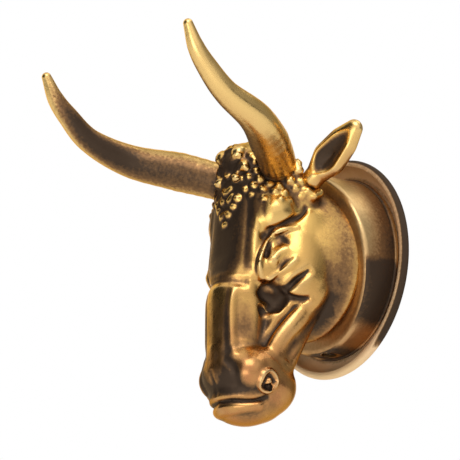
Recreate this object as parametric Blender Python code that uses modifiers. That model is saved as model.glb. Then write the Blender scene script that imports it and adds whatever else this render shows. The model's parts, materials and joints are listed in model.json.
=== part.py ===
"""Wall guitar hanger: a cast bull's head on a round flange, whose two horns carry a guitar's neck.

Frame: +Z up, -Y out of the wall into the room, +X to the right of someone who faces the wall.
The origin is the centre of the mounting disc's back face, on the wall. Lengths are in metres.
"""

import math

import bmesh
import bpy
import numpy as np
from mathutils import Matrix, Vector

MM = 0.001
TOUCH = 0.3 * MM  # gap between pieces that touch

# The guitar's neck, which lies between the horns
NECK_WIDTH = 43 * MM
NECK_CLEARANCE = 1.3 * MM  # to each horn, where it turns up beside the neck

# Drum: a cup over the disc's rim, deeper at the top so that its front leans
DRUM_WALL = 4.2 * MM
DRUM_WEB = 2.2 * MM
DRUM_LEAN = 0.19  # depth gained for each unit of height
DRUM_EDGE = 1.3 * MM
DRUM_BEAD = 0.5 * MM  # the bead round the drum's foot, next to the flange
BORE_CLEARANCE = 0.3 * MM
BOSS_STEP = 6 * MM  # from the drum's edge in to the register that the head sits on
BOSS_HEIGHT = 1.0 * MM

# Mounting disc: a shallow steel dish with its back on the wall
DISC_RADIUS = 16.5 * MM
DISC_FLOOR = 2.5 * MM
DISC_RIM_HEIGHT = 6.1 * MM
DISC_RIM_WALL = 2.5 * MM
DISC_RIM_CLEARANCE = 0.565 * MM  # to the drum's web at the bottom, where the room is least
DISC_GROOVE_DEPTH = 1.0 * MM
DISC_GROOVE_HALF = 1.45 * MM  # half the groove's width at the rim's surface
DISC_GROOVE_EDGE = 0.1 * MM  # left between the groove and the rim's top
DISC_GROOVE_FLAT = 0.3  # share of the groove's half width that is flat at its bottom

# Wall screws, countersunk in the disc's floor
WALL_SCREW_LENGTH = 16 * MM
WALL_SCREW_RADIUS = 2.0 * MM
WALL_SCREW_HEAD_RADIUS = 3.7 * MM
WALL_SCREW_POINT = 0.2  # share of the shank's radius left at the point
WALL_SCREW_SUNK = 0.15 * MM  # its head below the disc's floor
COUNTERSINK_CLEARANCE = 0.42 * MM
UPPER_SCREW_MARGIN = 0.8 * MM  # from its head to the disc's rim
LOWER_SCREW_MARGIN = 3.8 * MM

# Flange: a shallow dish with a thick rounded lip, and the felt ring let into its back
FLANGE_BRIM = 5.0 * MM  # beyond the drum
FLANGE_HEIGHT = 4.5 * MM
FLANGE_FLOOR = 1.7 * MM
FLANGE_LIP = 1.15 * MM  # radius of the lip's rounding
FLANGE_HOLLOW_BRIM = 0.4 * MM  # beyond the drum, where the flange's hollow starts
FLANGE_LIP_STEP = 0.2 * MM  # from the hollow's outer edge up to the lip's top
FLANGE_FOOT_BRIM = 0.6 * MM  # beyond the drum, where the flange meets the wall
FLANGE_BACK_BRIM = 1.9 * MM  # the steep part of the slope behind the lip, out from the foot
FLANGE_BACK_RISE = 1.05 * MM
FELT_THICKNESS = 0.5 * MM
FELT_LAND = 1.2 * MM  # width of the foot round the felt

# What follows from the disc
DRUM_BORE = DISC_RADIUS + BORE_CLEARANCE
DRUM_RADIUS = DRUM_BORE + DRUM_WALL
DRUM_DEPTH = DISC_RIM_HEIGHT + DISC_RIM_CLEARANCE + DRUM_LEAN * DISC_RADIUS + DRUM_WEB  # on the axis
DISC_GROOVE_HEIGHT = DISC_RIM_HEIGHT - DISC_GROOVE_EDGE - DISC_GROOVE_HALF
BOSS_RADIUS = DRUM_RADIUS - BOSS_STEP
FLANGE_RADIUS = DRUM_RADIUS + FLANGE_BRIM
FLANGE_BORE = DISC_RADIUS + 2 * TOUCH
FLANGE_FOOT = DRUM_RADIUS + FLANGE_FOOT_BRIM
FELT_RECESS_RADIUS = FLANGE_FOOT - FELT_LAND

# Set screw in the drum's underside
SET_SCREW_RADIUS = 1.5 * MM
SET_SCREW_TILT = math.radians(12)  # lets the key pass in front of the flange's lip
SET_SCREW_SOCKET = 0.75 * MM
SET_SCREW_POINT = 0.65  # share of the radius that the cone at its tip takes off
SET_SCREW_STANDOFF = 0.72 * MM  # from the groove's bottom to its tip
SET_SCREW_SUNK = 0.6 * MM  # its outer end below the drum's surface

# Bolt, washers and dowels between drum and head
BOLT_RADIUS = 2.5 * MM
BOLT_RISE = 6 * MM  # above the drum's axis
BOLT_REACH = 9 * MM  # into the head
BOLT_HEAD_RADIUS = 4.25 * MM
BOLT_HEAD_HEIGHT = 3.5 * MM
BOLT_HEAD_CHAMFER = 0.4 * MM
BOLT_SOCKET = 2.0 * MM
BOLT_SOCKET_DEPTH = 2.1 * MM
BOLT_POINT_CHAMFER = 0.5 * MM
WASHER_RADIUS = 5 * MM
WASHER_THICKNESS = 1.0 * MM
LOCK_WASHER_RADIUS = 4.4 * MM
LOCK_WASHER_THICKNESS = 1.2 * MM
LOCK_WASHER_SLOT = 0.8 * MM
LOCK_WASHER_SKEW = math.radians(20)  # of the slot through its ring
PIN_CHAMFER = 0.3 * MM
DOWEL_RADIUS = 1.5 * MM
DOWEL_SPREAD = 20 * MM
DOWEL_REACH = 5 * MM

# Head, measured over the finished casting
HEAD_WIDTH = 27 * MM  # over the eyes
HEAD_HEIGHT = 69 * MM  # poll to chin
HEAD_REACH = 41 * MM  # wall to nose

# Horns
HORN_RADIUS = 4.2 * MM
HORN_TIP_RADIUS = 1.15 * MM
HORN_REACH = 69.4 * MM  # wall to tip
HORN_RISE = 42.8 * MM  # drum axis to tip
HORN_STUD_RADIUS = 1.75 * MM
HORN_STUD_REACH = 5 * MM  # into head and horn alike

# Ears
EAR_LENGTH = 19.8 * MM
EAR_WIDTH = 9.6 * MM
EAR_WALL = 1.3 * MM
EAR_ROOT_RADIUS = 2.9 * MM
EAR_SPIGOT_RADIUS = 2.0 * MM
EAR_SPIGOT_DEPTH = 4 * MM

# The clay models, in millimetres. The head's has its origin on the wall, behind the drum's middle
CLAY_WIDTH = 27
CLAY_HEIGHT = 69
CLAY_REACH = 41
CLAY_DRUM = 12
CLAY_DRUM_RADIUS = 21
CLAY_NECK = 10  # length over which the neck passes from the drum's size to the head's
HEAD_GRAIN = 0.55  # voxel of the head's clay
EAR_GRAIN = 0.5
HEAD_TRIANGLES = 4600
EAR_TRIANGLES = 600
ROUND_STEPS = 48


# ---------------------------------------------------------------- scene and materials


def clear_scene():
    for obj in list(bpy.data.objects):
        bpy.data.objects.remove(obj)


def new_collection(name):
    collection = bpy.data.collections.new(name)
    bpy.context.scene.collection.children.link(collection)
    return collection


def new_material(name, colour, roughness, metallic):
    material = bpy.data.materials.new(name)
    material.use_nodes = True
    shader = material.node_tree.nodes["Principled BSDF"]
    shader.inputs["Base Color"].default_value = (*colour, 1)
    shader.inputs["Roughness"].default_value = roughness
    shader.inputs["Metallic"].default_value = metallic
    material.diffuse_color = (*colour, 1)
    return material


def put(name, mesh, collection, material=None):
    obj = bpy.data.objects.new(name, mesh)
    collection.objects.link(obj)
    if material:
        mesh.materials.append(material)
    return obj


def cutter(name, mesh):
    obj = put(name, mesh, CUTTERS)
    obj.hide_render = True
    obj.display_type = "WIRE"
    return obj


def evaluated_mesh(obj):
    """The object's mesh with its modifiers applied, in world space."""
    graph = bpy.context.evaluated_depsgraph_get()
    mesh = bpy.data.meshes.new_from_object(obj.evaluated_get(graph))
    mesh.transform(obj.matrix_world)
    return mesh


def bake(obj):
    """Applies the modifiers, and leaves the object at the origin."""
    mesh = evaluated_mesh(obj)
    obj.modifiers.clear()
    obj.data = mesh
    obj.matrix_world = Matrix.Identity(4)
    return obj


# ---------------------------------------------------------------- places


def facing(origin, direction, up=(0, 0, 1)):
    """A frame at the origin whose Z points along the direction, and whose Y leans towards up."""
    z = Vector(direction).normalized()
    x = Vector(up).cross(z).normalized()
    y = z.cross(x)
    return Matrix.Translation(Vector(origin)) @ Matrix((x, y, z)).transposed().to_4x4()


WALL = facing((0, 0, 0), (0, -1, 0))
SEAT = facing((0, -DRUM_DEPTH, 0), (0, -1, -DRUM_LEAN))  # the drum's leaning front


def side(sign, point):
    """The point on the right side of the head for sign 1, and its mirror image for -1."""
    return Vector((sign * point[0], point[1], point[2]))


def on_head(x, y, z):
    """A place on the clay model, moved to where the drum's size and the head's put it."""
    wide, deep, long = head_scale()
    at_drum = DRUM_RADIUS / MM / CLAY_DRUM_RADIUS
    beyond = min(1, max(0, (-y - CLAY_DRUM) / CLAY_NECK))
    wide = at_drum + (wide - at_drum) * beyond
    long = at_drum + (long - at_drum) * beyond
    return Vector((x * wide * MM, -DRUM_DEPTH + (y + CLAY_DRUM) * deep * MM, z * long * MM))


def head_scale():
    """How much wider, deeper and longer the head is than the clay model."""
    deep = (HEAD_REACH - DRUM_DEPTH) / MM / (CLAY_REACH - CLAY_DRUM)
    return HEAD_WIDTH / MM / CLAY_WIDTH, deep, HEAD_HEIGHT / MM / CLAY_HEIGHT


# ---------------------------------------------------------------- turned pieces


def outline_mesh(name, points):
    mesh = bpy.data.meshes.new(name)
    count = len(points)
    closed = points[0] == points[-1]
    if closed:
        count -= 1
    edges = [(i, (i + 1) % count) for i in range(count if closed else count - 1)]
    mesh.from_pydata([(r, 0, h) for r, h in points[:count]], edges, [])
    return mesh


def turn(obj, steps=ROUND_STEPS):
    """Turns the object's profile, radius by height, round its local Z."""
    screw = obj.modifiers.new("Turn", "SCREW")
    screw.axis = "Z"
    screw.steps = screw.render_steps = steps
    screw.use_merge_vertices = True
    screw.merge_threshold = 0.00001
    return obj


def turned(name, profile, frame, material, steps=ROUND_STEPS):
    obj = turn(put(name, outline_mesh(name, profile), PARTS, material), steps)
    obj.matrix_world = frame
    return obj


def turned_cutter(name, profile, frame, steps=24):
    obj = turn(cutter(name, outline_mesh(name, profile)), steps)
    obj.matrix_world = frame
    return obj


def rod_profile(radius, low, high):
    """Profile of a rod from height low to high, read down its outer side."""
    return [(0, high), (radius, high), (radius, low), (0, low)]


def pin_profile(radius, low, high):
    """Profile of a rod with chamfered ends."""
    narrow = radius - PIN_CHAMFER
    side_low = low + PIN_CHAMFER
    side_high = high - PIN_CHAMFER
    return [(0, high), (narrow, high), (radius, side_high), (radius, side_low), (narrow, low), (0, low)]


def seat_profile(radius, height, hole_radius, hole_depth):
    """Cuts a flat seat at height 0 with a deeper hole in its middle, both with room round what they take."""
    wide = radius + TOUCH
    thin = hole_radius + TOUCH
    low = -hole_depth - TOUCH
    return [(0, height), (wide, height), (wide, 0), (thin, 0), (thin, low), (0, low)]


def ring_profile(inner, outer, low, high):
    return [(inner, high), (outer, high), (outer, low), (inner, low), (inner, high)]


def arc(centre, radii, first, last, steps):
    """Points on an ellipse in the profile's plane. Angles in degrees, 0 outwards and 90 up."""
    angles = [math.radians(first + (last - first) * i / steps) for i in range(steps + 1)]
    return [(centre[0] + radii[0] * math.cos(a), centre[1] + radii[1] * math.sin(a)) for a in angles]


def box_cutter(name, frame, low, high):
    """A box in the frame from corner low to corner high."""
    mesh = bpy.data.meshes.new(name)
    cell = bmesh.new()
    bmesh.ops.create_cube(cell, size=1)
    cell.to_mesh(mesh)
    cell.free()
    low = Vector(low)
    high = Vector(high)
    mesh.transform(Matrix.Translation((low + high) / 2) @ Matrix.Diagonal((*(high - low), 1)))
    obj = cutter(name, mesh)
    obj.matrix_world = frame
    return obj


def boolean(obj, other, operation="DIFFERENCE"):
    modifier = obj.modifiers.new(operation.title(), "BOOLEAN")
    modifier.operation = operation
    modifier.object = other
    modifier.solver = "EXACT"
    return obj


# ---------------------------------------------------------------- wall side


def make_mounting_disc():
    rim_inner = DISC_RADIUS - DISC_RIM_WALL
    groove = DISC_GROOVE_HEIGHT
    half = DISC_GROOVE_HALF
    profile = [
        (0, DISC_FLOOR),
        (rim_inner, DISC_FLOOR),
        (rim_inner, DISC_RIM_HEIGHT),
        (DISC_RADIUS, DISC_RIM_HEIGHT),
        (DISC_RADIUS, groove + half),
        (DISC_RADIUS - DISC_GROOVE_DEPTH, groove + DISC_GROOVE_FLAT * half),
        (DISC_RADIUS - DISC_GROOVE_DEPTH, groove - DISC_GROOVE_FLAT * half),
        (DISC_RADIUS, groove - half),
        (DISC_RADIUS, 0),
        (0, 0),
    ]
    disc = turned("mounting_disc", profile, WALL, STEEL)
    for label, height in wall_screw_heights().items():
        place = WALL @ Matrix.Translation((0, height, 0))
        boolean(disc, turned_cutter(f"{label}_hole", screw_hole_profile(), place))


def wall_screw_heights():
    """The pair sits high on the disc, because the upper screw takes the pull."""
    reach = DISC_RADIUS - DISC_RIM_WALL - WALL_SCREW_HEAD_RADIUS
    return {"wall_screw_upper": reach - UPPER_SCREW_MARGIN, "wall_screw_lower": LOWER_SCREW_MARGIN - reach}


def screw_hole_profile():
    """A clearance hole through the disc's floor, with a 90 degree countersink."""
    wide = WALL_SCREW_HEAD_RADIUS + COUNTERSINK_CLEARANCE
    thin = WALL_SCREW_RADIUS + TOUCH
    above = 2 * DISC_FLOOR
    cone = DISC_FLOOR - (wide - thin)
    below = -DISC_FLOOR
    return [(0, above), (wide, above), (wide, DISC_FLOOR), (thin, cone), (thin, below), (0, below)]


def wall_screw_profile():
    """A countersunk head, its 90 degree cone, the shank and the point."""
    top = DISC_FLOOR - WALL_SCREW_SUNK
    end = top - WALL_SCREW_LENGTH
    head = WALL_SCREW_HEAD_RADIUS
    shank = WALL_SCREW_RADIUS
    return [
        (0, top),
        (head, top),
        (shank, top - (head - shank)),
        (shank, end + 2 * shank),
        (WALL_SCREW_POINT * shank, end),
        (0, end),
    ]


def make_wall_screws():
    for name, height in wall_screw_heights().items():
        turned(name, wall_screw_profile(), WALL @ Matrix.Translation((0, height, 0)), STEEL, steps=20)


def make_felt_ring():
    profile = ring_profile(FLANGE_BORE, FELT_RECESS_RADIUS - TOUCH, 0, FELT_THICKNESS)
    turned("felt_ring", profile, WALL, FELT)


def make_flange():
    """Flat under the drum, then a hollow that rises to the lip, and a back that slopes in to the wall."""
    lip_centre = (FLANGE_RADIUS - FLANGE_LIP, FLANGE_HEIGHT - FLANGE_LIP)
    start = DRUM_RADIUS + FLANGE_HOLLOW_BRIM
    wide = lip_centre[0] - 0.5 * FLANGE_LIP - start
    deep = FLANGE_HEIGHT - FLANGE_LIP_STEP - FLANGE_FLOOR
    hollow = arc((start, FLANGE_FLOOR + deep), (wide, deep), -90, -10, 5)
    lip = arc(lip_centre, (FLANGE_LIP, FLANGE_LIP), 110, -80, 7)
    recess = FELT_THICKNESS + TOUCH
    back = [
        (FLANGE_FOOT + FLANGE_BACK_BRIM, FLANGE_BACK_RISE),
        (FLANGE_FOOT, 0),
        (FELT_RECESS_RADIUS, 0),
        (FELT_RECESS_RADIUS, recess),
        (FLANGE_BORE, recess),
    ]
    bore_edge = (FLANGE_BORE, FLANGE_FLOOR)
    turned("flange", [bore_edge] + hollow + lip + back + [bore_edge], WALL, GOLD)


def make_drum():
    back = FLANGE_FLOOR + TOUCH
    web_back = DRUM_DEPTH - DRUM_WEB
    edge = arc((DRUM_RADIUS - DRUM_EDGE, DRUM_DEPTH - DRUM_EDGE), (DRUM_EDGE, DRUM_EDGE), 90, 0, 5)
    bead = arc((DRUM_RADIUS, back + DRUM_BEAD), (DRUM_BEAD, DRUM_BEAD), 90, -90, 4)
    profile = [(0, DRUM_DEPTH)] + edge + bead + [(DRUM_BORE, back), (DRUM_BORE, web_back), (0, web_back)]
    drum = bake(turned("drum", profile, WALL, GOLD))
    for vertex in drum.data.vertices:
        share = min(1, (-vertex.co.y - back) / (web_back - back))
        vertex.co.y -= DRUM_LEAN * vertex.co.z * share
    boss = rod_profile(BOSS_RADIUS, -DRUM_WEB / 2, BOSS_HEIGHT)
    boolean(drum, turned_cutter("drum_register", boss, SEAT, ROUND_STEPS), "UNION")
    thickness = DRUM_WEB + DRUM_DEPTH
    through = rod_profile(BOLT_RADIUS + TOUCH, -thickness, thickness)
    boolean(drum, turned_cutter("drum_bolt_hole", through, bolt_frame()))
    for label, frame in dowel_frames().items():
        through = rod_profile(DOWEL_RADIUS + TOUCH, -thickness, thickness)
        boolean(drum, turned_cutter(f"{label}_drum_hole", through, frame))
    hole = rod_profile(SET_SCREW_RADIUS + TOUCH, -DISC_FLOOR, DRUM_RADIUS)
    boolean(drum, turned_cutter("set_screw_hole", hole, set_screw_frame()))
    return drum


def set_screw_frame():
    """Starts in the disc's groove at the bottom and points down and out through the drum's wall."""
    start = Vector((0, -DISC_GROOVE_HEIGHT, DISC_GROOVE_DEPTH - DISC_RADIUS))
    direction = Vector((0, -math.sin(SET_SCREW_TILT), -math.cos(SET_SCREW_TILT)))
    return facing(start, direction, up=(0, -1, 0))


def make_set_screw():
    low = SET_SCREW_STANDOFF
    high = DRUM_RADIUS - DISC_RADIUS + DISC_GROOVE_DEPTH - SET_SCREW_SUNK
    tip = SET_SCREW_POINT * SET_SCREW_RADIUS
    profile = [
        (0, high),
        (SET_SCREW_RADIUS, high),
        (SET_SCREW_RADIUS, low + tip),
        (SET_SCREW_RADIUS - tip, low),
        (0, low),
    ]
    screw = turned("set_screw", profile, set_screw_frame(), BLACK_STEEL, steps=20)
    depth = (high - low) / 2
    cut = rod_profile(SET_SCREW_SOCKET, high - depth, high + depth)
    return boolean(screw, turned_cutter("set_screw_socket", cut, set_screw_frame(), steps=6))


# ---------------------------------------------------------------- between drum and head


def bolt_frame():
    return SEAT @ Matrix.Translation((0, BOLT_RISE, 0))


def dowel_frames():
    return {
        "left_locating_pin": SEAT @ Matrix.Translation((-DOWEL_SPREAD / 2, 0, 0)),
        "right_locating_pin": SEAT @ Matrix.Translation((DOWEL_SPREAD / 2, 0, 0)),
    }


def web_back_height():
    """The web's back face, seen along the seat's own axis."""
    return -DRUM_WEB / math.hypot(1, DRUM_LEAN)


def make_head_fastening():
    washer_top = web_back_height() - TOUCH
    washer_low = washer_top - WASHER_THICKNESS
    hole = BOLT_RADIUS + TOUCH
    turned("head_washer", ring_profile(hole, WASHER_RADIUS, washer_low, washer_top), bolt_frame(), STEEL, 32)
    lock_top = washer_low - TOUCH
    lock_low = lock_top - LOCK_WASHER_THICKNESS
    profile = ring_profile(hole, LOCK_WASHER_RADIUS, lock_low, lock_top)
    lock = turned("lock_washer", profile, bolt_frame(), STEEL, 32)
    slot = bolt_frame() @ Matrix.Rotation(LOCK_WASHER_SKEW, 4, "Y")
    half = LOCK_WASHER_SLOT / 2
    low = (-half, -2 * WASHER_RADIUS, lock_low - 2 * LOCK_WASHER_THICKNESS)
    boolean(lock, box_cutter("lock_washer_slot", slot, low, (half, 0, lock_top + LOCK_WASHER_THICKNESS)))
    head_top = lock_low - TOUCH
    head_low = head_top - BOLT_HEAD_HEIGHT
    profile = [
        (0, BOLT_REACH),
        (BOLT_RADIUS - BOLT_POINT_CHAMFER, BOLT_REACH),
        (BOLT_RADIUS, BOLT_REACH - BOLT_POINT_CHAMFER),
        (BOLT_RADIUS, head_top),
        (BOLT_HEAD_RADIUS, head_top),
        (BOLT_HEAD_RADIUS, head_low + BOLT_HEAD_CHAMFER),
        (BOLT_HEAD_RADIUS - BOLT_HEAD_CHAMFER, head_low),
        (0, head_low),
    ]
    bolt = turned("head_bolt", profile, bolt_frame(), BLACK_STEEL, 32)
    cut = rod_profile(BOLT_SOCKET, head_low - BOLT_SOCKET_DEPTH, head_low + BOLT_SOCKET_DEPTH)
    boolean(bolt, turned_cutter("head_bolt_socket", cut, bolt_frame(), steps=6))
    for name, frame in dowel_frames().items():
        turned(name, pin_profile(DOWEL_RADIUS, web_back_height(), DOWEL_REACH), frame, STEEL, 20)


# ---------------------------------------------------------------- clay


def lump(form, centre, radii, tilt=0):
    """Adds an ellipsoid, in millimetres. Tilt leans it about X, in degrees."""
    shape = Matrix.Diagonal((*(r * MM for r in radii), 1))
    place = Matrix.Translation(Vector(centre) * MM) @ Matrix.Rotation(math.radians(tilt), 4, "X") @ shape
    made = bmesh.ops.create_uvsphere(form, u_segments=24, v_segments=12, radius=1, matrix=place)
    return made["verts"]


def pair(form, centre, radii, tilt=0):
    for sign in (1, -1):
        lump(form, (sign * centre[0], centre[1], centre[2]), radii, tilt)


def limb(form, *ends):
    """The hull round two or more ellipsoids, each (centre, radii)."""
    points = []
    for centre, radii in ends:
        points += lump(form, centre, radii)
    made = bmesh.ops.convex_hull(form, input=points)
    spare = set(made["geom_interior"]) | set(made["geom_unused"])
    inside = [v for v in spare if isinstance(v, bmesh.types.BMVert)]
    bmesh.ops.delete(form, geom=inside, context="VERTS")


def limb_pair(form, *ends):
    for sign in (1, -1):
        limb(form, *[((sign * c[0], c[1], c[2]), r) for c, r in ends])


def mesh_of(name, form):
    mesh = bpy.data.meshes.new(name)
    form.to_mesh(mesh)
    form.free()
    return mesh


def fuse(obj, voxel):
    """Joins the object's overlapping forms into one skin."""
    remesh = obj.modifiers.new("Voxels", "REMESH")
    remesh.mode = "VOXEL"
    remesh.voxel_size = voxel
    return obj


class Clay:
    """A dense closed mesh under brushes that work on both sides at once, in millimetres."""

    def __init__(self, name, form, voxel, scoop=None):
        raw = fuse(put(name, mesh_of(name, form), CUTTERS), voxel * MM)
        if scoop:
            hollow = fuse(cutter(f"{name}_scoop", mesh_of(f"{name}_scoop", scoop)), voxel * MM)
            fuse(boolean(raw, hollow), voxel * MM)
        self.mesh = evaluated_mesh(raw)
        bpy.data.objects.remove(raw)
        self.voxel = voxel
        count = len(self.mesh.vertices)
        points = np.empty(count * 3)
        self.mesh.vertices.foreach_get("co", points)
        self.points = points.reshape(-1, 3) / MM
        edges = np.empty(len(self.mesh.edges) * 2, np.int64)
        self.mesh.edges.foreach_get("vertices", edges)
        edges = edges.reshape(-1, 2)
        self.heads = np.concatenate([edges[:, 0], edges[:, 1]])
        self.tails = np.concatenate([edges[:, 1], edges[:, 0]])
        self.neighbours = np.bincount(self.heads, minlength=count)

    def averages(self, values):
        """Each point's mean over its neighbours."""
        count = len(self.neighbours)
        sums = [np.bincount(self.heads, values[self.tails, i], count) for i in range(values.shape[1])]
        return np.stack(sums, 1) / self.neighbours[:, None]

    def smooth(self, radius):
        """Rounds off what is smaller than the radius."""
        for _ in range(max(1, round(0.9 * (radius / self.voxel) ** 2))):
            self.points += 0.6 * (self.averages(self.points) - self.points)

    def normals(self):
        self.mesh.vertices.foreach_set("co", (self.points * MM).reshape(-1))
        self.mesh.update()
        normals = np.empty(len(self.points) * 3)
        self.mesh.vertex_normals.foreach_get("vector", normals)
        return normals.reshape(-1, 3)

    def folded(self):
        """The points, with the left side's brought over to the right."""
        points = self.points.copy()
        points[:, 0] = np.abs(points[:, 0])
        return points

    def snap(self, path):
        """The path laid onto the surface."""
        points = self.folded()
        return [Vector(points[np.argmin(((points - np.array(p)) ** 2).sum(1))]) for p in path]

    def reach(self, path, width):
        """The points that a brush of this width touches along the path, with how far from it and along it."""
        route = np.array([tuple(p) for p in path])
        points = self.folded()
        inside = (points > route.min(0) - width) & (points < route.max(0) + width)
        near = np.all(inside, axis=1).nonzero()[0]
        points = points[near]
        nearest = np.full(len(points), np.inf)
        along = np.zeros(len(points))
        for i, (a, b) in enumerate(zip(route[:-1], route[1:])):
            t = np.clip(((points - a) @ (b - a)) / max((b - a) @ (b - a), 1e-9), 0, 1)
            gap = np.linalg.norm(points - a - t[:, None] * (b - a), axis=1)
            closer = gap < nearest
            nearest[closer] = gap[closer]
            along[closer] = (i + t[closer]) / (len(route) - 1)
        return near, np.clip(nearest / width, 0, 1), along

    def stroke(self, path, width, lift, taper=0.25, edge=0):
        """Raises, or for a negative lift cuts, a ridge along the path, thinning to its ends.

        Edge 0 gives a soft round ridge and 1 a sharp one."""
        near, gap, along = self.reach(curve(self.snap(path)), width)
        strength = (1 - gap**2) ** 2 * (1 - edge) + (1 - gap) ** 2 * edge
        ends = np.sqrt(np.clip(np.minimum(along, 1 - along) / taper, 0, 1))
        self.points[near] += self.normals()[near] * (strength * ends * lift)[:, None]

    def dab(self, centre, width, lift):
        """Raises or presses one round spot."""
        spot = self.snap([centre])[0]
        near, gap, _ = self.reach([spot, spot + Vector((0.01, 0, 0))], width)
        self.points[near] += self.normals()[near] * ((1 - gap**2) ** 2 * lift)[:, None]

    def finish(self, place):
        """The mesh, with each point moved from the clay's millimetres to its real place."""
        points = np.array([tuple(place(*p)) for p in self.points])
        self.mesh.vertices.foreach_set("co", points.reshape(-1))
        self.mesh.update()
        return self.mesh


def curve(points, steps=6):
    """A smooth line through the points."""
    points = [Vector(p) for p in points]
    padded = [2 * points[0] - points[1]] + points + [2 * points[-1] - points[-2]]
    line = []
    for a, b, c, d in zip(padded, padded[1:], padded[2:], padded[3:]):
        for i in range(steps):
            t = i / steps
            bend = (2 * a - 5 * b + 4 * c - d) * t**2 + (3 * b - a - 3 * c + d) * t**3
            line.append(0.5 * (2 * b + (c - a) * t + bend))
    return line + [points[-1]]


# ---------------------------------------------------------------- head


HORN_ROOT = (8.2, -27.5, 17.5)
EAR_ROOT = (12.2, -21.6, 14.8)
EAR_POINTS = (13.6, 3.0, 11.3)  # direction from root to tip
EAR_BACK = (-0.34, 0.85, 0.2)  # direction opposite to the cup's opening
# Each section, root to tip: half its width and half its depth as shares of the ear's width,
# then half its length and its height as shares of the ear's length
EAR_SECTIONS = (
    (0.27, 0.26, 0.08, 0.13),
    (0.50, 0.36, 0.20, 0.42),
    (0.44, 0.30, 0.20, 0.66),
    (0.25, 0.20, 0.10, 0.90),
)
EAR_SCOOP_SHIFTS = (0.12, 0, 0, -0.03)  # of the hollow's sections along the ear
EAR_SCOOP_FORWARD = 0.34  # of the hollow, as a share of the ear's width


def head_form():
    """The head's masses, before the brushes."""
    form = bmesh.new()
    limb(form, ((0, -11, 0), (18.8, 4, 18.8)), ((0, -19.5, 0.5), (15.6, 6.0, 16.0)))
    lump(form, (0, -26.5, 12), (10.5, 9.5, 12.5))
    lump(form, (0, -30.5, 20), (6.5, 5.5, 6))
    limb_pair(form, ((9.8, -22.0, 12), (4.4, 4.6, 4.6)), ((9.0, -25.0, 15), (4.6, 4.6, 4.6)))
    pair(form, (7.8, -27.8, 8.4), (5.2, 5.8, 7.6))
    pair(form, (8.2, -21.0, -4), (7.4, 9, 12.5))
    pair(form, (8.2, -19.5, 4), (6.8, 8.0, 9.0))
    pair(form, (8.2, -28.9, -2.8), (3.2, 4.2, 7.2), tilt=-28)
    limb(form, ((0, -30.5, 10), (8.6, 6, 8)), ((0, -32.6, -4), (8.4, 5.4, 6)))
    bridge = ((0, -33.6, -13), (6.0, 6.6, 5))
    limb(form, ((0, -32.6, -4), (7.6, 5.6, 6)), bridge, ((0, -33.2, -27), (6.2, 7.2, 6)))
    limb_pair(form, ((5.8, -20.5, -11), (6.6, 6.5, 8)), ((4.6, -27.0, -28.0), (4.8, 5.2, 6.5)))
    pair(form, (4.6, -26.0, -13.5), (4.6, 5.4, 6.5))
    limb(form, ((0, -30.6, -29.5), (10.2, 10.2, 7.6)), ((0, -28.4, -32.0), (10.0, 10.4, 8.0)))
    pair(form, (5.8, -33.4, -30.4), (4.6, 5.2, 4.8))
    limb(form, ((0, -30.8, -35.6), (8.0, 8.4, 6.0)), ((0, -27.6, -34.6), (7.8, 7.0, 6.0)))
    return form


def sculpt_nose(clay):
    """Forehead and nose: front planes with firm edges, and the step between them."""
    clay.stroke([(7.6, -32.6, 16), (8.6, -34.2, 5), (8.4, -34.4, -3), (7.2, -34.0, -9)], 2.4, 0.8, edge=0.3)
    clay.stroke([(0, -36.5, 14), (0, -38, -2), (0, -39, -8)], 6.0, -0.7)
    edge = [(5.0, -37.0, -10), (5.0, -38.4, -14), (5.2, -38.8, -22), (5.8, -38.4, -27)]
    clay.stroke(edge, 1.8, 0.6, edge=0.4)
    clay.stroke([(0, -40, -11), (0, -40.4, -24)], 3.6, -0.4)
    clay.stroke([(0, -39, -8.8), (4, -38, -9.0), (7, -34.6, -9.8)], 1.8, -0.6, taper=0.1)
    clay.stroke([(6.8, -35.2, -12), (6.8, -35.4, -23)], 3.2, -0.5)


def sculpt_eye(clay):
    """The brow with the crease under it, the eyeball behind its slit, and the two lids."""
    clay.stroke([(8.8, -33.0, 2.6), (10.4, -30.8, 6.6), (12.4, -27.2, 9.4)], 4.2, 0.5)
    crease = [(8.8, -33.0, 0.8), (10.2, -31.0, 3.0), (12.2, -27.6, 5.0)]
    crease += [(13.4, -24.6, 7.2), (13.8, -23.0, 9.2)]
    clay.stroke(crease, 1.2, -1.2, taper=0.4, edge=0.4)
    clay.stroke([(12.0, -28.6, 1.6), (10.9, -30.6, -1.6), (9.8, -32.2, -5.2)], 2.6, -0.5)
    clay.stroke([(12.2, -28.2, -0.6), (11.2, -30.0, -3.0), (10.3, -31.4, -5.4)], 1.9, 0.9)
    lid = [(13.4, -24.8, 4.0), (11.4, -30.0, 2.0), (9.8, -32.6, -1.2)]
    lid += [(9.1, -33.2, -5.2), (8.7, -32.4, -10.0)]
    clay.stroke(lid, 1.1, 1.1, edge=0.4)
    slit = [(11.6, -29.8, 0.6), (10.4, -31.5, -1.4), (9.9, -32.2, -4.2)]
    clay.stroke(slit, 0.75, -1.5, taper=0.4, edge=0.6)
    lower = [(13.4, -25.6, -3.8), (12.2, -28.4, -6.2), (10.6, -30.6, -8.6), (9.4, -31.8, -10.2)]
    clay.stroke(lower, 1.2, 0.8, edge=0.3)


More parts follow.
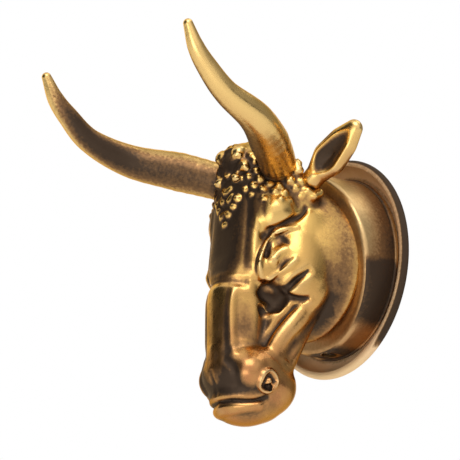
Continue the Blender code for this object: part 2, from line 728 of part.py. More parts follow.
def sculpt_cheek(clay):
    """The star-shaped hollow under the eye, the jaw's crease and its raised band, and the throat."""
    clay.dab((9.0, -28.4, -12.8), 4.2, -1.0)
    clay.stroke([(8.2, -31.8, -10.8), (8.8, -29.4, -12.8), (9.4, -27.2, -14.6)], 2.1, -1.6, taper=0.3)
    clay.stroke([(7.4, -31.8, -16.0), (8.6, -29.2, -14.0), (10.0, -27.0, -11.8)], 2.0, -1.4, taper=0.3)
    ray = [(14.6, -22.8, -6.2), (12.8, -25.8, -8.8), (10.0, -28.2, -12.0)]
    clay.stroke(ray, 1.4, -1.8, taper=0.8, edge=0.6)
    crease = [(14.2, -20.8, -12.0), (11.6, -25.0, -14.8), (9.4, -28.0, -18.2)]
    crease += [(7.8, -30.0, -22.0), (7.2, -31.0, -25.0)]
    clay.stroke(crease, 1.4, -1.3, taper=0.6, edge=0.5)
    jaw = [(15.4, -15.0, -8.5), (13.6, -20.8, -15.0), (11.0, -25.8, -19.4)]
    jaw += [(8.8, -28.6, -23.6), (8.6, -30.4, -27.0)]
    clay.stroke(jaw, 3.0, 0.8, taper=0.5)
    throat = [(13.8, -14.5, -17.0), (12.0, -19.6, -20.6), (10.0, -24.4, -24.2), (9.8, -25.8, -27.6)]
    clay.stroke(throat, 2.6, -1.2, taper=0.5)


def sculpt_muzzle(clay):
    """The mouth and lower lip, the pad between the nostrils, and each nostril's curl round its hole."""
    mouth = [(0, -39, -37.4), (4, -37.6, -37.6), (7.4, -33.6, -37.8), (9.2, -30.0, -37.0)]
    clay.stroke(mouth, 1.2, -1.1, taper=0.2, edge=0.5)
    clay.stroke([(0, -37.4, -39.4), (5, -35.4, -39.4), (8.2, -31, -38.6)], 1.8, 0.4, taper=0.1)
    clay.stroke([(0, -40.6, -29.5), (0, -40, -36.8)], 0.7, -0.3, taper=0.2, edge=0.3)
    clay.stroke([(3.2, -39.4, -27.6), (5.6, -37.4, -30.2), (5.6, -37.0, -34.6)], 1.4, -0.35, edge=0.2)
    clay.dab((9.0, -31.2, -33.0), 3.6, 0.8)
    turns = np.linspace(-2.4, 3.8, 9)
    ring = [(9.2 - 0.9 * math.cos(t), -31.2 - 1.9 * math.cos(t), -33.0 + 2.2 * math.sin(t)) for t in turns]
    clay.stroke(ring, 0.9, 0.6, taper=0.1)
    moat = [(9.3 - 0.5 * math.cos(t), -31.2 - 1.1 * math.cos(t), -33.0 + 1.3 * math.sin(t)) for t in turns]
    clay.stroke(moat, 0.8, -0.9, taper=0.1, edge=0.3)
    clay.dab((9.2, -31.0, -34.3), 1.4, -1.5)
    clay.dab((9.3, -31.3, -32.7), 1.0, 0.7)


def sculpt_face(clay):
    sculpt_nose(clay)
    sculpt_eye(clay)
    sculpt_cheek(clay)
    sculpt_muzzle(clay)


def sculpt_head():
    clay = Clay("bull_head_clay", head_form(), HEAD_GRAIN)
    clay.smooth(1.5)
    sculpt_face(clay)
    clay.smooth(0.45)
    return clay.finish(on_head)


def make_head():
    head = put("bull_head", sculpt_head(), PARTS, GOLD)
    thin = head.modifiers.new("Fewer faces", "DECIMATE")
    thin.ratio = min(1, HEAD_TRIANGLES / (2 * len(head.data.vertices)))
    bake(head)
    wide = 3 * DRUM_RADIUS
    boolean(head, box_cutter("head_back", SEAT, (-wide, -wide, -wide), (wide, wide, TOUCH)))
    register = rod_profile(BOSS_RADIUS + TOUCH, -BOSS_HEIGHT, BOSS_HEIGHT + TOUCH)
    boolean(head, turned_cutter("head_register", register, SEAT, steps=ROUND_STEPS))
    hole = rod_profile(BOLT_RADIUS + TOUCH, -BOLT_REACH, BOLT_REACH + TOUCH)
    boolean(head, turned_cutter("head_bolt_hole", hole, bolt_frame()))
    for label, frame in dowel_frames().items():
        hole = rod_profile(DOWEL_RADIUS + TOUCH, -DOWEL_REACH, DOWEL_REACH + TOUCH)
        boolean(head, turned_cutter(f"{label}_head_hole", hole, frame))
    for sign, label in SIDES:
        seat = seat_profile(HORN_RADIUS, 2 * HORN_RADIUS, HORN_STUD_RADIUS, HORN_STUD_REACH)
        boolean(head, turned_cutter(f"{label}_horn_seat", seat, horn_frame(sign)))
        seat = seat_profile(EAR_ROOT_RADIUS, EAR_WIDTH, EAR_SPIGOT_RADIUS, EAR_SPIGOT_DEPTH)
        boolean(head, turned_cutter(f"{label}_ear_seat", seat, ear_frame(sign)))
    return bake(head)


# ---------------------------------------------------------------- horns and ears

SIDES = ((1, "right"), (-1, "left"))
# Each bend: millimetres outside the neck's gap, then the share of the horn's reach and of its rise
HORN_BENDS = (
    (-11.9, 0.05, 0.07),
    (-5.8, 0.23, 0.18),
    (0.7, 0.46, 0.28),
    (2.9, 0.71, 0.43),
    (3.5, 0.86, 0.64),
    (3.9, 0.94, 0.80),
    (4.2, 1.0, 1.0),
)
HORN_SWELL = (1.0, 1.02, 1.10, 0.92, 0.69, 0.57, 0.46, 0.27)  # radius at the root and each bend
HORN_TIP = ((0.55, 0.84), (0.9, 0.45))  # its rounding: distance ahead and radius, in tip radii


def horn_path():
    """The right horn's centreline, root to tip, and its radius at each point."""
    inner = NECK_WIDTH / 2 + NECK_CLEARANCE
    root = on_head(*HORN_ROOT)
    reach = HORN_REACH - HORN_TIP_RADIUS + root.y
    rise = HORN_RISE - HORN_TIP_RADIUS - root.z
    places = [root]
    for x, forward, up in HORN_BENDS:
        places.append(Vector((inner + x * MM, root.y - forward * reach, root.z + up * rise)))
    line = curve([tuple(p) for p in places], 4)
    spots = np.linspace(0, len(places) - 1, len(line))
    radii = np.interp(spots, range(len(places)), HORN_SWELL) * HORN_RADIUS
    radii[-1] = HORN_TIP_RADIUS
    return line, radii


def horn_frame(sign):
    """The horn's seat on the head, with Z out along the horn."""
    line, _ = horn_path()
    return facing(side(sign, line[0]), side(sign, line[2] - line[0]))


def make_horn(sign, label):
    line, sizes = horn_path()
    data = bpy.data.curves.new(f"{label}_horn_line", "CURVE")
    data.dimensions = "3D"
    data.bevel_depth = 1
    data.bevel_resolution = 5
    data.use_fill_caps = True
    spline = data.splines.new("POLY")
    tip = line[-1] - line[-2]
    spline.points.add(len(line) + len(HORN_TIP) - 1)
    for point, place, radius in zip(spline.points, line, sizes):
        point.co = (*side(sign, place), 1)
        point.radius = radius
    for point, (ahead, share) in zip(list(spline.points)[len(line) :], HORN_TIP):
        point.co = (*side(sign, line[-1] + tip.normalized() * ahead * HORN_TIP_RADIUS), 1)
        point.radius = share * HORN_TIP_RADIUS
    guide = bpy.data.objects.new(f"{label}_horn_line", data)
    CUTTERS.objects.link(guide)
    mesh = evaluated_mesh(guide)
    bpy.data.objects.remove(guide)
    joined = bmesh.new()
    joined.from_mesh(mesh)
    bmesh.ops.remove_doubles(joined, verts=joined.verts, dist=0.000001)
    bmesh.ops.recalc_face_normals(joined, faces=joined.faces)
    joined.to_mesh(mesh)
    joined.free()
    horn = put(f"{label}_horn", mesh, PARTS, GOLD)
    deep = 3 * HORN_RADIUS
    below = ((-deep, -deep, -deep), (deep, deep, TOUCH))
    boolean(horn, box_cutter(f"{label}_horn_foot", horn_frame(sign), *below))
    hole = rod_profile(HORN_STUD_RADIUS + TOUCH, -HORN_STUD_REACH, HORN_STUD_REACH + TOUCH)
    boolean(horn, turned_cutter(f"{label}_horn_hole", hole, horn_frame(sign)))
    bake(horn)
    stud = pin_profile(HORN_STUD_RADIUS, -HORN_STUD_REACH, HORN_STUD_REACH)
    turned(f"{label}_horn_stud", stud, horn_frame(sign), STEEL, 20)
    return horn


def ear_frame(sign):
    """The ear's root on the head, with Z along the ear to its tip and Y towards the ear's back."""
    return facing(side(sign, on_head(*EAR_ROOT)), side(sign, EAR_POINTS), up=side(sign, EAR_BACK))


def ear_leaf(scoop):
    """The ear's outer form along Z, for scoop 0. For 1, what hollows it: smaller, and set forward."""
    length = EAR_LENGTH / MM
    width = EAR_WIDTH / MM
    wall = EAR_WALL / MM * scoop
    lumps = []
    for (wide, deep, long, height), shift in zip(EAR_SECTIONS, EAR_SCOOP_SHIFTS):
        centre = (0, -EAR_SCOOP_FORWARD * width * scoop, (height + shift * scoop) * length)
        lumps.append((centre, (wide * width - wall, deep * width - 0.8 * wall, long * length - wall)))
    form = bmesh.new()
    limb(form, *lumps)
    return form


def make_ear(sign, label):
    """A leaf rolled into a cup that opens to the front, with a spigot at its root."""
    form = ear_leaf(0)
    root = 0.9 * EAR_ROOT_RADIUS / MM
    limb(form, ((0, 0, 1.4), (root, root, 1.6)), ((0, 0, 3.2), (root, root, 1.6)))
    clay = Clay(f"{label}_ear_clay", form, EAR_GRAIN, scoop=ear_leaf(1))
    clay.smooth(0.7)
    frame = ear_frame(sign)
    mesh = clay.finish(lambda *p: frame @ (Vector(p) * MM))
    ear = put(f"{label}_ear", mesh, PARTS, GOLD)
    thin = ear.modifiers.new("Fewer faces", "DECIMATE")
    thin.ratio = min(1, EAR_TRIANGLES / (2 * len(mesh.vertices)))
    bake(ear)
    deep = EAR_WIDTH
    boolean(ear, box_cutter(f"{label}_ear_foot", frame, (-deep, -deep, -deep), (deep, deep, TOUCH)))
    spigot = rod_profile(EAR_SPIGOT_RADIUS, -EAR_SPIGOT_DEPTH, 2 * MM)
    boolean(ear, turned_cutter(f"{label}_ear_spigot", spigot, frame), "UNION")
    return bake(ear)


# ---------------------------------------------------------------- the hanger

clear_scene()
PARTS = new_collection("wall_guitar_hanger")
CUTTERS = new_collection("cutters")
GOLD = new_material("antique_gold", (0.62, 0.40, 0.13), 0.18, 1.0)
STEEL = new_material("bright_steel", (0.55, 0.55, 0.56), 0.3, 1.0)
BLACK_STEEL = new_material("black_steel", (0.05, 0.05, 0.055), 0.35, 1.0)
FELT = new_material("dark_felt", (0.03, 0.028, 0.026), 0.95, 0.0)

make_mounting_disc()
make_wall_screws()
make_felt_ring()
make_flange()
make_drum()
make_set_screw()
make_head_fastening()
make_head()
for sign, label in SIDES:
    make_horn(sign, label)
    make_ear(sign, label)
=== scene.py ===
import json
from math import atan2, ceil, cos, hypot, radians, sin, tau

import bmesh
import bpy
import numpy as np
from mathutils import Matrix, Vector, noise

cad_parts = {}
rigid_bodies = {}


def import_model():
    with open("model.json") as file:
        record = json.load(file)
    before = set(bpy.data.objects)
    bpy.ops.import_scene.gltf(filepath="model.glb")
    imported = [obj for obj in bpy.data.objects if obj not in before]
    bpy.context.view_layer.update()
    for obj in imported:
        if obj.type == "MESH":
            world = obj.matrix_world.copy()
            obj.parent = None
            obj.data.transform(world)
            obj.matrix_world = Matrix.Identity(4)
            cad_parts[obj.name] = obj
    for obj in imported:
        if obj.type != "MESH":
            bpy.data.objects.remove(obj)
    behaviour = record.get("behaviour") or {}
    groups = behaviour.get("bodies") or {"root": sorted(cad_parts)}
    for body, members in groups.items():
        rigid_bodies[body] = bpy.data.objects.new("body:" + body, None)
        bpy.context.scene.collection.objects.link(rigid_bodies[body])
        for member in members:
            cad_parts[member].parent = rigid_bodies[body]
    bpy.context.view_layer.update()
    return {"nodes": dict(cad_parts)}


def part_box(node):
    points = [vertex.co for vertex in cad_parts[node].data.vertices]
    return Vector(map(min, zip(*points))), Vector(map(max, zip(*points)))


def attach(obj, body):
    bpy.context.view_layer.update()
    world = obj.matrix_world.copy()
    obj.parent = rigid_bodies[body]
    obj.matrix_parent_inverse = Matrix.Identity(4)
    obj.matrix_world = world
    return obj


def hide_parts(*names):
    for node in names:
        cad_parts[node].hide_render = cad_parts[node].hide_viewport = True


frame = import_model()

# A wall guitar hanger: a polished, antiqued bull's head on a drum and flange, whose horns carry a
# guitar's neck. Frame: +Z up, -Y out of the wall, +X to the right of someone who faces the wall.
# Lengths on the object are numbers of MM, which comes from the mounting disc's width.

DISC_RADIUS = 16.5
DISC_LOW, DISC_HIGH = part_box("mounting_disc")
MM = (DISC_HIGH.x - DISC_LOW.x) / (2 * DISC_RADIUS)
SIDES = ((1, "right"), (-1, "left"))
SHARP_ANGLE = 35  # degrees, from which two faces of a turned piece meet at an edge
SOFT_ANGLE = 60  # the same for a cast piece


# ---- helpers


def side(sign, point):
    """The point on the right side for sign 1, and its mirror image for -1."""
    return Vector((sign * point[0], point[1], point[2]))


def unit(value):
    """The number or array, held between 0 and 1."""
    return np.clip(value, 0, 1)


def fold(points):
    """The points, with those on the left moved to the right side."""
    points = points.copy()
    points[:, 0] = np.abs(points[:, 0])
    return points


def facing(origin, direction, up=(0, 0, 1)):
    """A frame at the origin whose Z points along the direction, and whose Y leans towards up."""
    z = Vector(direction).normalized()
    x = Vector(up).cross(z).normalized()
    y = z.cross(x)
    return Matrix.Translation(Vector(origin)) @ Matrix((x, y, z)).transposed().to_4x4()


WALL = facing((0, 0, 0), (0, -1, 0))


def curve(points, steps=6):
    """A smooth line through the points."""
    points = [Vector(p) for p in points]
    padded = [2 * points[0] - points[1]] + points + [2 * points[-1] - points[-2]]
    line = []
    for a, b, c, d in zip(padded, padded[1:], padded[2:], padded[3:]):
        for i in range(steps):
            t = i / steps
            square = (2 * a - 5 * b + 4 * c - d) * t**2
            line.append(0.5 * (2 * b + (c - a) * t + square + (3 * b - a - 3 * c + d) * t**3))
    return line + [points[-1]]


def linked(name, data):
    """A new object in the scene."""
    obj = bpy.data.objects.new(name, data)
    bpy.context.scene.collection.objects.link(obj)
    return obj


def add(name, mesh, material):
    mesh.materials.append(material)
    return linked(name, mesh)


def to_mesh(name, form):
    """The form as a mesh. The form itself is freed."""
    mesh = bpy.data.meshes.new(name)
    form.to_mesh(mesh)
    form.free()
    return mesh


def raw_object(name, form):
    return linked(name, to_mesh(name, form))


def table(items, key, columns, kind=float):
    """The items' values as an array with a row for each item."""
    values = np.empty(len(items) * columns, kind)
    items.foreach_get(key, values)
    return values.reshape(-1, columns)


def baked(obj, *cutters):
    """The object's mesh with its modifiers applied. The object and its cutters are removed."""
    graph = bpy.context.evaluated_depsgraph_get()
    mesh = bpy.data.meshes.new_from_object(obj.evaluated_get(graph))
    for spent in (obj, *cutters):
        bpy.data.objects.remove(spent)
    return mesh


def shade(mesh, sharpest):
    """Smooth shading, with an edge wherever two faces meet at this many degrees or more."""
    form = bmesh.new()
    form.from_mesh(mesh)
    for face in form.faces:
        face.smooth = True
    for edge in form.edges:
        edge.smooth = edge.calc_face_angle(0) < radians(sharpest)
    form.to_mesh(mesh)
    form.free()


# ---- clay


def lump(form, centre, radii, tilt=0):
    """Adds an ellipsoid, in millimetres. Tilt leans it about X, in degrees."""
    shape = Matrix.Diagonal((*(r * MM for r in radii), 1))
    turned = Matrix.Translation(Vector(centre) * MM) @ Matrix.Rotation(radians(tilt), 4, "X")
    place = turned @ shape
    made = bmesh.ops.create_uvsphere(form, u_segments=32, v_segments=16, radius=1, matrix=place)
    return made["verts"]


def pair(form, centre, radii, tilt=0):
    for sign in (1, -1):
        lump(form, side(sign, centre), radii, tilt)


def limb(form, *ends):
    """The hull round two or more ellipsoids, each (centre, radii)."""
    points = [vertex for end in ends for vertex in lump(form, *end)]
    made = bmesh.ops.convex_hull(form, input=points)
    spare = set(made["geom_interior"]) | set(made["geom_unused"])
    inside = [item for item in spare if isinstance(item, bmesh.types.BMVert)]
    bmesh.ops.delete(form, geom=inside, context="VERTS")


def limb_pair(form, *ends):
    for sign in (1, -1):
        limb(form, *[(side(sign, centre), radii) for centre, radii in ends])


def fuse(obj, voxel):
    """Joins the object's overlapping forms into one skin."""
    remesh = obj.modifiers.new("Voxels", "REMESH")
    remesh.mode = "VOXEL"
    remesh.voxel_size = voxel * MM
    return obj


def carve(obj, other):
    modifier = obj.modifiers.new("Difference", "BOOLEAN")
    modifier.operation = "DIFFERENCE"
    modifier.object = other
    modifier.solver = "EXACT"
    return obj


# The radii over which a surface is compared with its smoothed self, and what each adds to its
# patina
# The widest radius darkens broad hollows, such as under the jaw, as painted shade
HOLLOW_SHARES = ((0.8, 1.6), (2.6, 0.55), (6.0, 0.10))


class Clay:
    """A dense closed mesh under sculpting brushes, in millimetres.

    Each brush works on both sides at once, unless both is off."""

    def __init__(self, form, voxel, scoop=None, both=True):
        raw = fuse(raw_object("clay", form), voxel)
        cutters = []
        if scoop:
            cutters.append(fuse(raw_object("scoop", scoop), voxel))
            fuse(carve(raw, *cutters), voxel)
        self.mesh = baked(raw, *cutters)
        self.voxel = voxel
        self.both = both
        self.points = table(self.mesh.vertices, "co", 3) / MM
        edges = table(self.mesh.edges, "vertices", 2, np.int64)
        self.heads, self.tails = np.concatenate([edges, edges[:, ::-1]]).T.copy()
        self.neighbours = np.bincount(self.heads, minlength=len(self.points))

    def smoothed(self, radius):
        """The points, each drawn towards the mean of its neighbours."""
        points = self.points
        for _ in range(max(1, round(0.9 * (radius / self.voxel) ** 2))):
            sums = [np.bincount(self.heads, axis, len(points)) for axis in points[self.tails].T]
            points = points + 0.6 * (np.stack(sums, 1) / self.neighbours[:, None] - points)
        return points

    def smooth(self, radius, where=None):
        """Rounds off what is smaller than the radius, in places by their share from 0 to 1."""
        soft = self.smoothed(radius)
        if where is not None:
            soft = self.points + (soft - self.points) * where[:, None]
        self.points = soft

    def normals(self):
        self.mesh.vertices.foreach_set("co", (self.points * MM).reshape(-1))
        self.mesh.update()
        return table(self.mesh.vertex_normals, "vector", 3)

    def folded(self):
        return fold(self.points) if self.both else self.points

    def snap(self, path):
        """The path laid onto the surface."""
        points = self.folded()
        return [Vector(points[np.argmin(((points - np.array(p)) ** 2).sum(1))]) for p in path]

    def reach(self, path, width):
        """The points within the width of the path, each with its distance as a share of the width,
        and its share of the path's length."""
        route = np.array(path)
        points = self.folded()
        inside = (points > route.min(0) - width) & (points < route.max(0) + width)
        near = np.all(inside, axis=1).nonzero()[0]
        points = points[near]
        nearest = np.full(len(points), np.inf)
        along = np.zeros(len(points))
        for i, (a, b) in enumerate(zip(route[:-1], route[1:])):
            t = unit(((points - a) @ (b - a)) / max((b - a) @ (b - a), 1e-9))
            gap = np.linalg.norm(points - a - t[:, None] * (b - a), axis=1)
            closer = gap < nearest
            nearest[closer] = gap[closer]
            along[closer] = (i + t[closer]) / (len(route) - 1)
        return near, unit(nearest / width), along

    def stroke(self, path, width, lift, taper=0.25, edge=0):
        """Raises, or for a negative lift cuts, a ridge along the path, thinning to its ends.

        Edge 0 gives a soft round ridge and 1 a sharp one. A path that leaves the midline runs on
        into its mirror image, so it keeps its strength there."""
        near, gap, along = self.reach(curve(self.snap(path)), width)
        start = 1 if self.both and path[0][0] == 0 and path[-1][0] != 0 else along
        strength = (1 - gap**2) ** 2 * (1 - edge) + (1 - gap) ** 2 * edge
        ends = unit(np.minimum(start, 1 - along) / taper)
        self.points[near] += self.normals()[near] * (strength * np.sqrt(ends) * lift)[:, None]

    def dab(self, centre, width, lift):
        """Raises or presses one round spot."""
        spot = self.snap([centre])[0]
        near, gap, _ = self.reach([spot, spot + Vector((0.01, 0, 0))], width)
        self.points[near] += self.normals()[near] * ((1 - gap**2) ** 2 * lift)[:, None]

    def finish(self, name, material, place=None, painted_shade=None):
        """The mesh as an object, with its hollows and ridges as a layer for the patina, and any
        painted shade added to that layer.
        """
        normals = self.normals()
        hollow = np.zeros(len(self.points))
        for radius, share in HOLLOW_SHARES:
            soft = self.smoothed(radius)
            hollow += share * ((soft - self.points) * normals).sum(1)
        # Painted shade, added into the same layer as the patina
        if painted_shade:
            hollow += painted_shade(self.points, normals)
        layer = self.mesh.attributes.new("hollow", "FLOAT", "POINT")
        layer.data.foreach_set("value", hollow.astype(np.float32))
        if place:
            self.mesh.transform(place)
        self.mesh.update()
        shade(self.mesh, SOFT_ANGLE)
        return add(name, self.mesh, material)


# ---- head


# The horn's centre line from inside the head to its tip, and its radius at each point
HORN_LINE = (
    (8.2, -27.5, 17.5),
    (10.9, -29.6, 19.2),
    (17, -36.9, 21.8),
    (23.5, -46.2, 24.2),
    (25.7, -56.3, 27.8),
    (26.3, -62.4, 32.9),
    (26.7, -65.7, 36.7),
    (27, -68.1, 41.5),
)
HORN_RADII = (4.2, 4.3, 4.6, 3.85, 2.9, 2.4, 1.95, 1.15)
GROWTH_RINGS = 0.45  # the horn's share from its root that carries them
GROWTH_RING_DEPTH = 0.05
HORN_CAP = (15, 30, 45, 60, 72, 82)  # degrees at which the rounded tip has its rings
HEAD_GRAIN = 0.35  # the size of the head's faces
EAR_GRAIN = 0.25
EAR_ROOT = (12.2, -21.6, 14.8)
EAR_POINTS = (13.6, 3, 11.3)  # the way from its root to its tip
EAR_BACK = (-0.34, 0.85, 0.2)
EAR_LENGTH = 19.8
EAR_WIDTH = 8.6
EAR_WALL = 1.2
STAR_MIDDLE = (9.4, -28.5, -12.2)  # of the hollow under the eye
STAR_WIDTH = 2.3


def head_form():
    """The head's masses before the brushes, and last the folded lobes under the ears."""
    form = bmesh.new()
    limb(form, ((0, -11, 0), (18.8, 4, 18.8)), ((0, -19.5, 0.5), (15.6, 6, 16)))
    lump(form, (0, -26.5, 12), (10.5, 9.5, 12.5))
    lump(form, (0, -30.5, 20), (6.5, 5.5, 6))
    limb_pair(form, ((9.8, -22, 12), (4.4, 4.6, 4.6)), ((9, -25, 15), (4.6, 4.6, 4.6)))
    pair(form, (7.8, -27.8, 8.4), (5.2, 5.8, 7.6))
    pair(form, (8.2, -21, -4), (7.4, 9, 12.5))
    pair(form, (8.2, -19.5, 4), (6.8, 8, 9))
    pair(form, (8.2, -28.9, -2.8), (3.2, 4.2, 7.2), tilt=-28)
    limb(form, ((0, -30.5, 10), (8.6, 6, 8)), ((0, -32.6, -4), (8.4, 5.4, 6)))
    bridge = ((0, -33.6, -13), (6, 6.6, 5))
    limb(form, ((0, -32.6, -4), (7.6, 5.6, 6)), bridge, ((0, -33.2, -27), (6.2, 7.2, 6)))
    limb_pair(form, ((5.8, -20.5, -11), (6.6, 6.5, 8)), ((4.6, -27, -28), (4.8, 5.2, 6.5)))
    pair(form, (4.6, -26, -13.5), (4.6, 5.4, 6.5))
    limb(form, ((0, -30.6, -29.5), (10.2, 10.2, 7.6)), ((0, -28.4, -32), (10, 10.4, 8)))
    pair(form, (5.8, -33.4, -30.4), (4.6, 5.2, 4.8))
    limb(form, ((0, -30.8, -35.6), (8, 8.4, 6)), ((0, -27.6, -34.6), (7.8, 7, 6)))
    for lobe in ((13.6, -23.6, 12.6), (14.6, -21.8, 11.6), (14.4, -20, 12.6)):
        pair(form, lobe, (1.3, 1.3, 1.3))
    return form


def sculpt_nose(clay):
    """Forehead and nose: front planes with firm edges, and the step between them."""
    temple = [(7.6, -32.6, 16), (8.6, -34.2, 5), (8.4, -34.4, -3), (7.2, -34, -9)]
    clay.stroke(temple, 2.4, 0.8, edge=0.3)
    clay.stroke([(0, -36.5, 14), (0, -38, -2), (0, -39, -8)], 6, -0.7)
    corner = [(5, -37, -10), (5, -38.4, -14), (5.2, -38.8, -22), (5.8, -38.4, -27)]
    clay.stroke(corner, 1.8, 0.6, edge=0.4)
    clay.stroke([(0, -40, -11), (0, -40.4, -24)], 3.6, -0.3)
    clay.stroke([(0, -39, -8.8), (4, -38, -9), (7, -34.6, -9.8)], 1.8, -0.6, taper=0.1)
    clay.stroke([(6.8, -35.2, -12), (6.8, -35.4, -23)], 3.2, -0.5)


def sculpt_eye(clay):
    """The brow with the crease under it, the eyeball behind its slit, and the two lids."""
    clay.stroke([(8.8, -33, 2.6), (10.4, -30.8, 6.6), (12.4, -27.2, 9.4)], 4.2, 0.5)
    crease = [(8.8, -33, 0.8), (10.2, -31, 3), (12.2, -27.6, 5)]
    crease += [(13.4, -24.6, 7.2), (13.8, -23, 9.2)]
    clay.stroke(crease, 1.2, -1.2, taper=0.4, edge=0.4)
    clay.stroke([(12, -28.6, 1.6), (10.9, -30.6, -1.6), (9.8, -32.2, -5.2)], 2.6, -0.5)
    clay.stroke([(12.2, -28.2, -0.6), (11.2, -30, -3), (10.3, -31.4, -5.4)], 1.9, 0.9)
    lid = [(13.4, -24.8, 4), (11.4, -30, 2), (9.8, -32.6, -1.2)]
    lid += [(9.1, -33.2, -5.2), (8.7, -32.4, -10)]
    clay.stroke(lid, 1.1, 1.1, edge=0.4)
    slit = [(11.6, -29.8, 0.6), (10.4, -31.5, -1.4), (9.9, -32.2, -4.2)]
    clay.stroke(slit, 0.75, -1.5, taper=0.4, edge=0.6)
    lower = [(13.4, -25.6, -3.8), (12.2, -28.4, -6.2), (10.6, -30.6, -8.6), (9.4, -31.8, -10.2)]
    clay.stroke(lower, 1.2, 0.8, edge=0.3)


def sculpt_cheek(clay):
    """The star-shaped hollow under the eye, the jaw's crease and raised band, and the throat."""
    clay.dab((9, -28.4, -12.8), 4.2, -1)
    falling = [(8.2, -31.8, -10.8), (8.8, -29.4, -12.8), (9.4, -27.2, -14.6)]
    clay.stroke(falling, 2.1, -1.6, taper=0.3)
    clay.stroke([(7.4, -31.8, -16), (8.6, -29.2, -14), (10, -27, -11.8)], 2, -1.4, taper=0.3)
    upper = [(14.6, -22.8, -6.2), (12.8, -25.8, -8.8), (10, -28.2, -12)]
    clay.stroke(upper, 1.5, -2.3, taper=0.8, edge=0.6)
    level = [(14.2, -21.8, -13.2), (12, -25.4, -13), (10, -28, -12.6)]
    clay.stroke(level, 1.3, -1.7, taper=0.8, edge=0.6)
    crease = [(14.2, -20.8, -12), (11.6, -25, -14.8), (9.4, -28, -18.2)]
    crease += [(7.8, -30, -22), (7.2, -31, -25)]
    clay.stroke(crease, 1.4, -1.3, taper=0.6, edge=0.5)
    jaw = [(15.4, -15, -8.5), (13.6, -20.8, -15), (11, -25.8, -19.4)]
    jaw += [(8.8, -28.6, -23.6), (8.6, -30.4, -27)]
    clay.stroke(jaw, 3, 0.8, taper=0.5)
    throat = [(13.8, -14.5, -17), (12, -19.6, -20.6), (10, -24.4, -24.2), (9.8, -25.8, -27.6)]
    clay.stroke(throat, 2.6, -1.2, taper=0.5)


def sculpt_muzzle(clay):
    """The mouth, the lower lip, the pad between the nostrils, and each nostril's curl and hole."""
    mouth = [(0, -39, -37.4), (4, -37.6, -37.6), (7.4, -33.6, -37.8), (9.2, -30, -37)]
    clay.stroke(mouth, 1.2, -1.1, taper=0.2, edge=0.5)
    clay.stroke([(0, -37.4, -39.4), (5, -35.4, -39.4), (8.2, -31, -38.6)], 1.8, 0.4, taper=0.1)
    clay.stroke([(0, -40.6, -29.5), (0, -40, -36.8)], 0.7, -0.3, taper=0.2, edge=0.3)
    clay.stroke([(3.2, -39.4, -27.6), (5.6, -37.4, -30.2), (5.6, -37, -34.6)], 1.4, -0.35, edge=0.2)
    clay.dab((9, -31.2, -33), 3.6, 0.8)
    turns = [(cos(t), sin(t)) for t in np.linspace(-2.4, 3.8, 9)]
    curl = [(9.2 - 0.9 * c, -31.2 - 1.9 * c, -33.0 + 2.2 * s) for c, s in turns]
    clay.stroke(curl, 0.9, 0.6, taper=0.1)
    moat = [(9.3 - 0.5 * c, -31.2 - 1.1 * c, -33.0 + 1.3 * s) for c, s in turns]
    clay.stroke(moat, 0.8, -0.9, taper=0.1, edge=0.3)
    clay.dab((9.2, -31, -34.3), 1.4, -1.5)
    clay.dab((9.3, -31.3, -32.7), 1, 0.7)


def curls(clay):
    """Rows of curls on the poll, each a raised lock with a spiral groove, a little out of place."""
    for row in range(4):
        reach = 8.0 - 0.75 * row
        for column in range(4):
            stray = sin(5.3 * row + 2.9 * column)
            x = 1.15 + 2.5 * column - 1.15 * (row % 2) + 0.7 * stray
            if not 0.9 < x < reach:
                continue
            height = 25.0 - 2.5 * row + 1.1 * cos(3.7 * row + 4.1 * column)
            clay.dab((x, -36.5, height), 1.75 + 0.35 * stray, 0.75 + 0.2 * stray)
            spiral = []
            for step in range(6):
                turn = 2.2 * stray + 1.5 + 1.05 * step
                out = 1.15 - 0.17 * step
                spiral.append((x + out * cos(turn), -36.5, height + out * sin(turn)))
            clay.stroke(spiral, 0.55, -0.5, taper=0.2, edge=0.3)


def beads(clay):
    """Rows of beads down the forehead and over the back of the poll."""
    for row in range(7):
        for column in range(3):
            stray = sin(4.1 * row + 2.3 * column + 0.6)
            x = 2.4 * column + 1.2 * (row % 2) + (0.5 * stray if column else 0)
            if x < 5.6 - 0.55 * row:
                spot = (x, -36.5, 16.6 - 1.9 * row + 0.7 * stray)
                clay.dab(spot, 1.3 + 0.3 * stray, 0.8 + 0.2 * stray)
    for row in range(6):
        turn = radians(92 - 12 * row)
        for column in range(3):
            stray = sin(3.3 * row + 2.7 * column)
            x = 2.3 * column + 1.15 * (row % 2) + (0.4 * stray if column else 0)
            spot = (x, -27.0 + 12.5 * cos(turn), 14.0 + 12.5 * sin(turn))
            clay.dab(spot, 1.5 + 0.3 * stray, 0.6 + 0.15 * stray)


def horn_beads(clay):
    """Rings of beads round the horn's root, smaller outwards, each with a groove."""
    root = facing(HORN_LINE[1], Vector(HORN_LINE[2]) - Vector(HORN_LINE[0]))
    for ring, (radius, count, size) in enumerate(((5.3, 13, 1.5), (7.3, 17, 1.35), (9.2, 20, 1.2))):
        for i in range(count):
            turn = tau * (i + 0.5 * ring) / count
            spot = root @ Vector((radius * cos(turn), radius * sin(turn), -0.6 - 1.5 * ring))
            if spot.x > 0.8:
                clay.dab(spot, size, 1.0 - 0.25 * ring)
                spur = Vector((0.5 * sin(5.0 * i), 0.3, -0.6))
                clay.stroke([spot - 0.7 * spur, spot + 0.8 * spur], 0.42, -0.4, taper=0.3, edge=0.4)


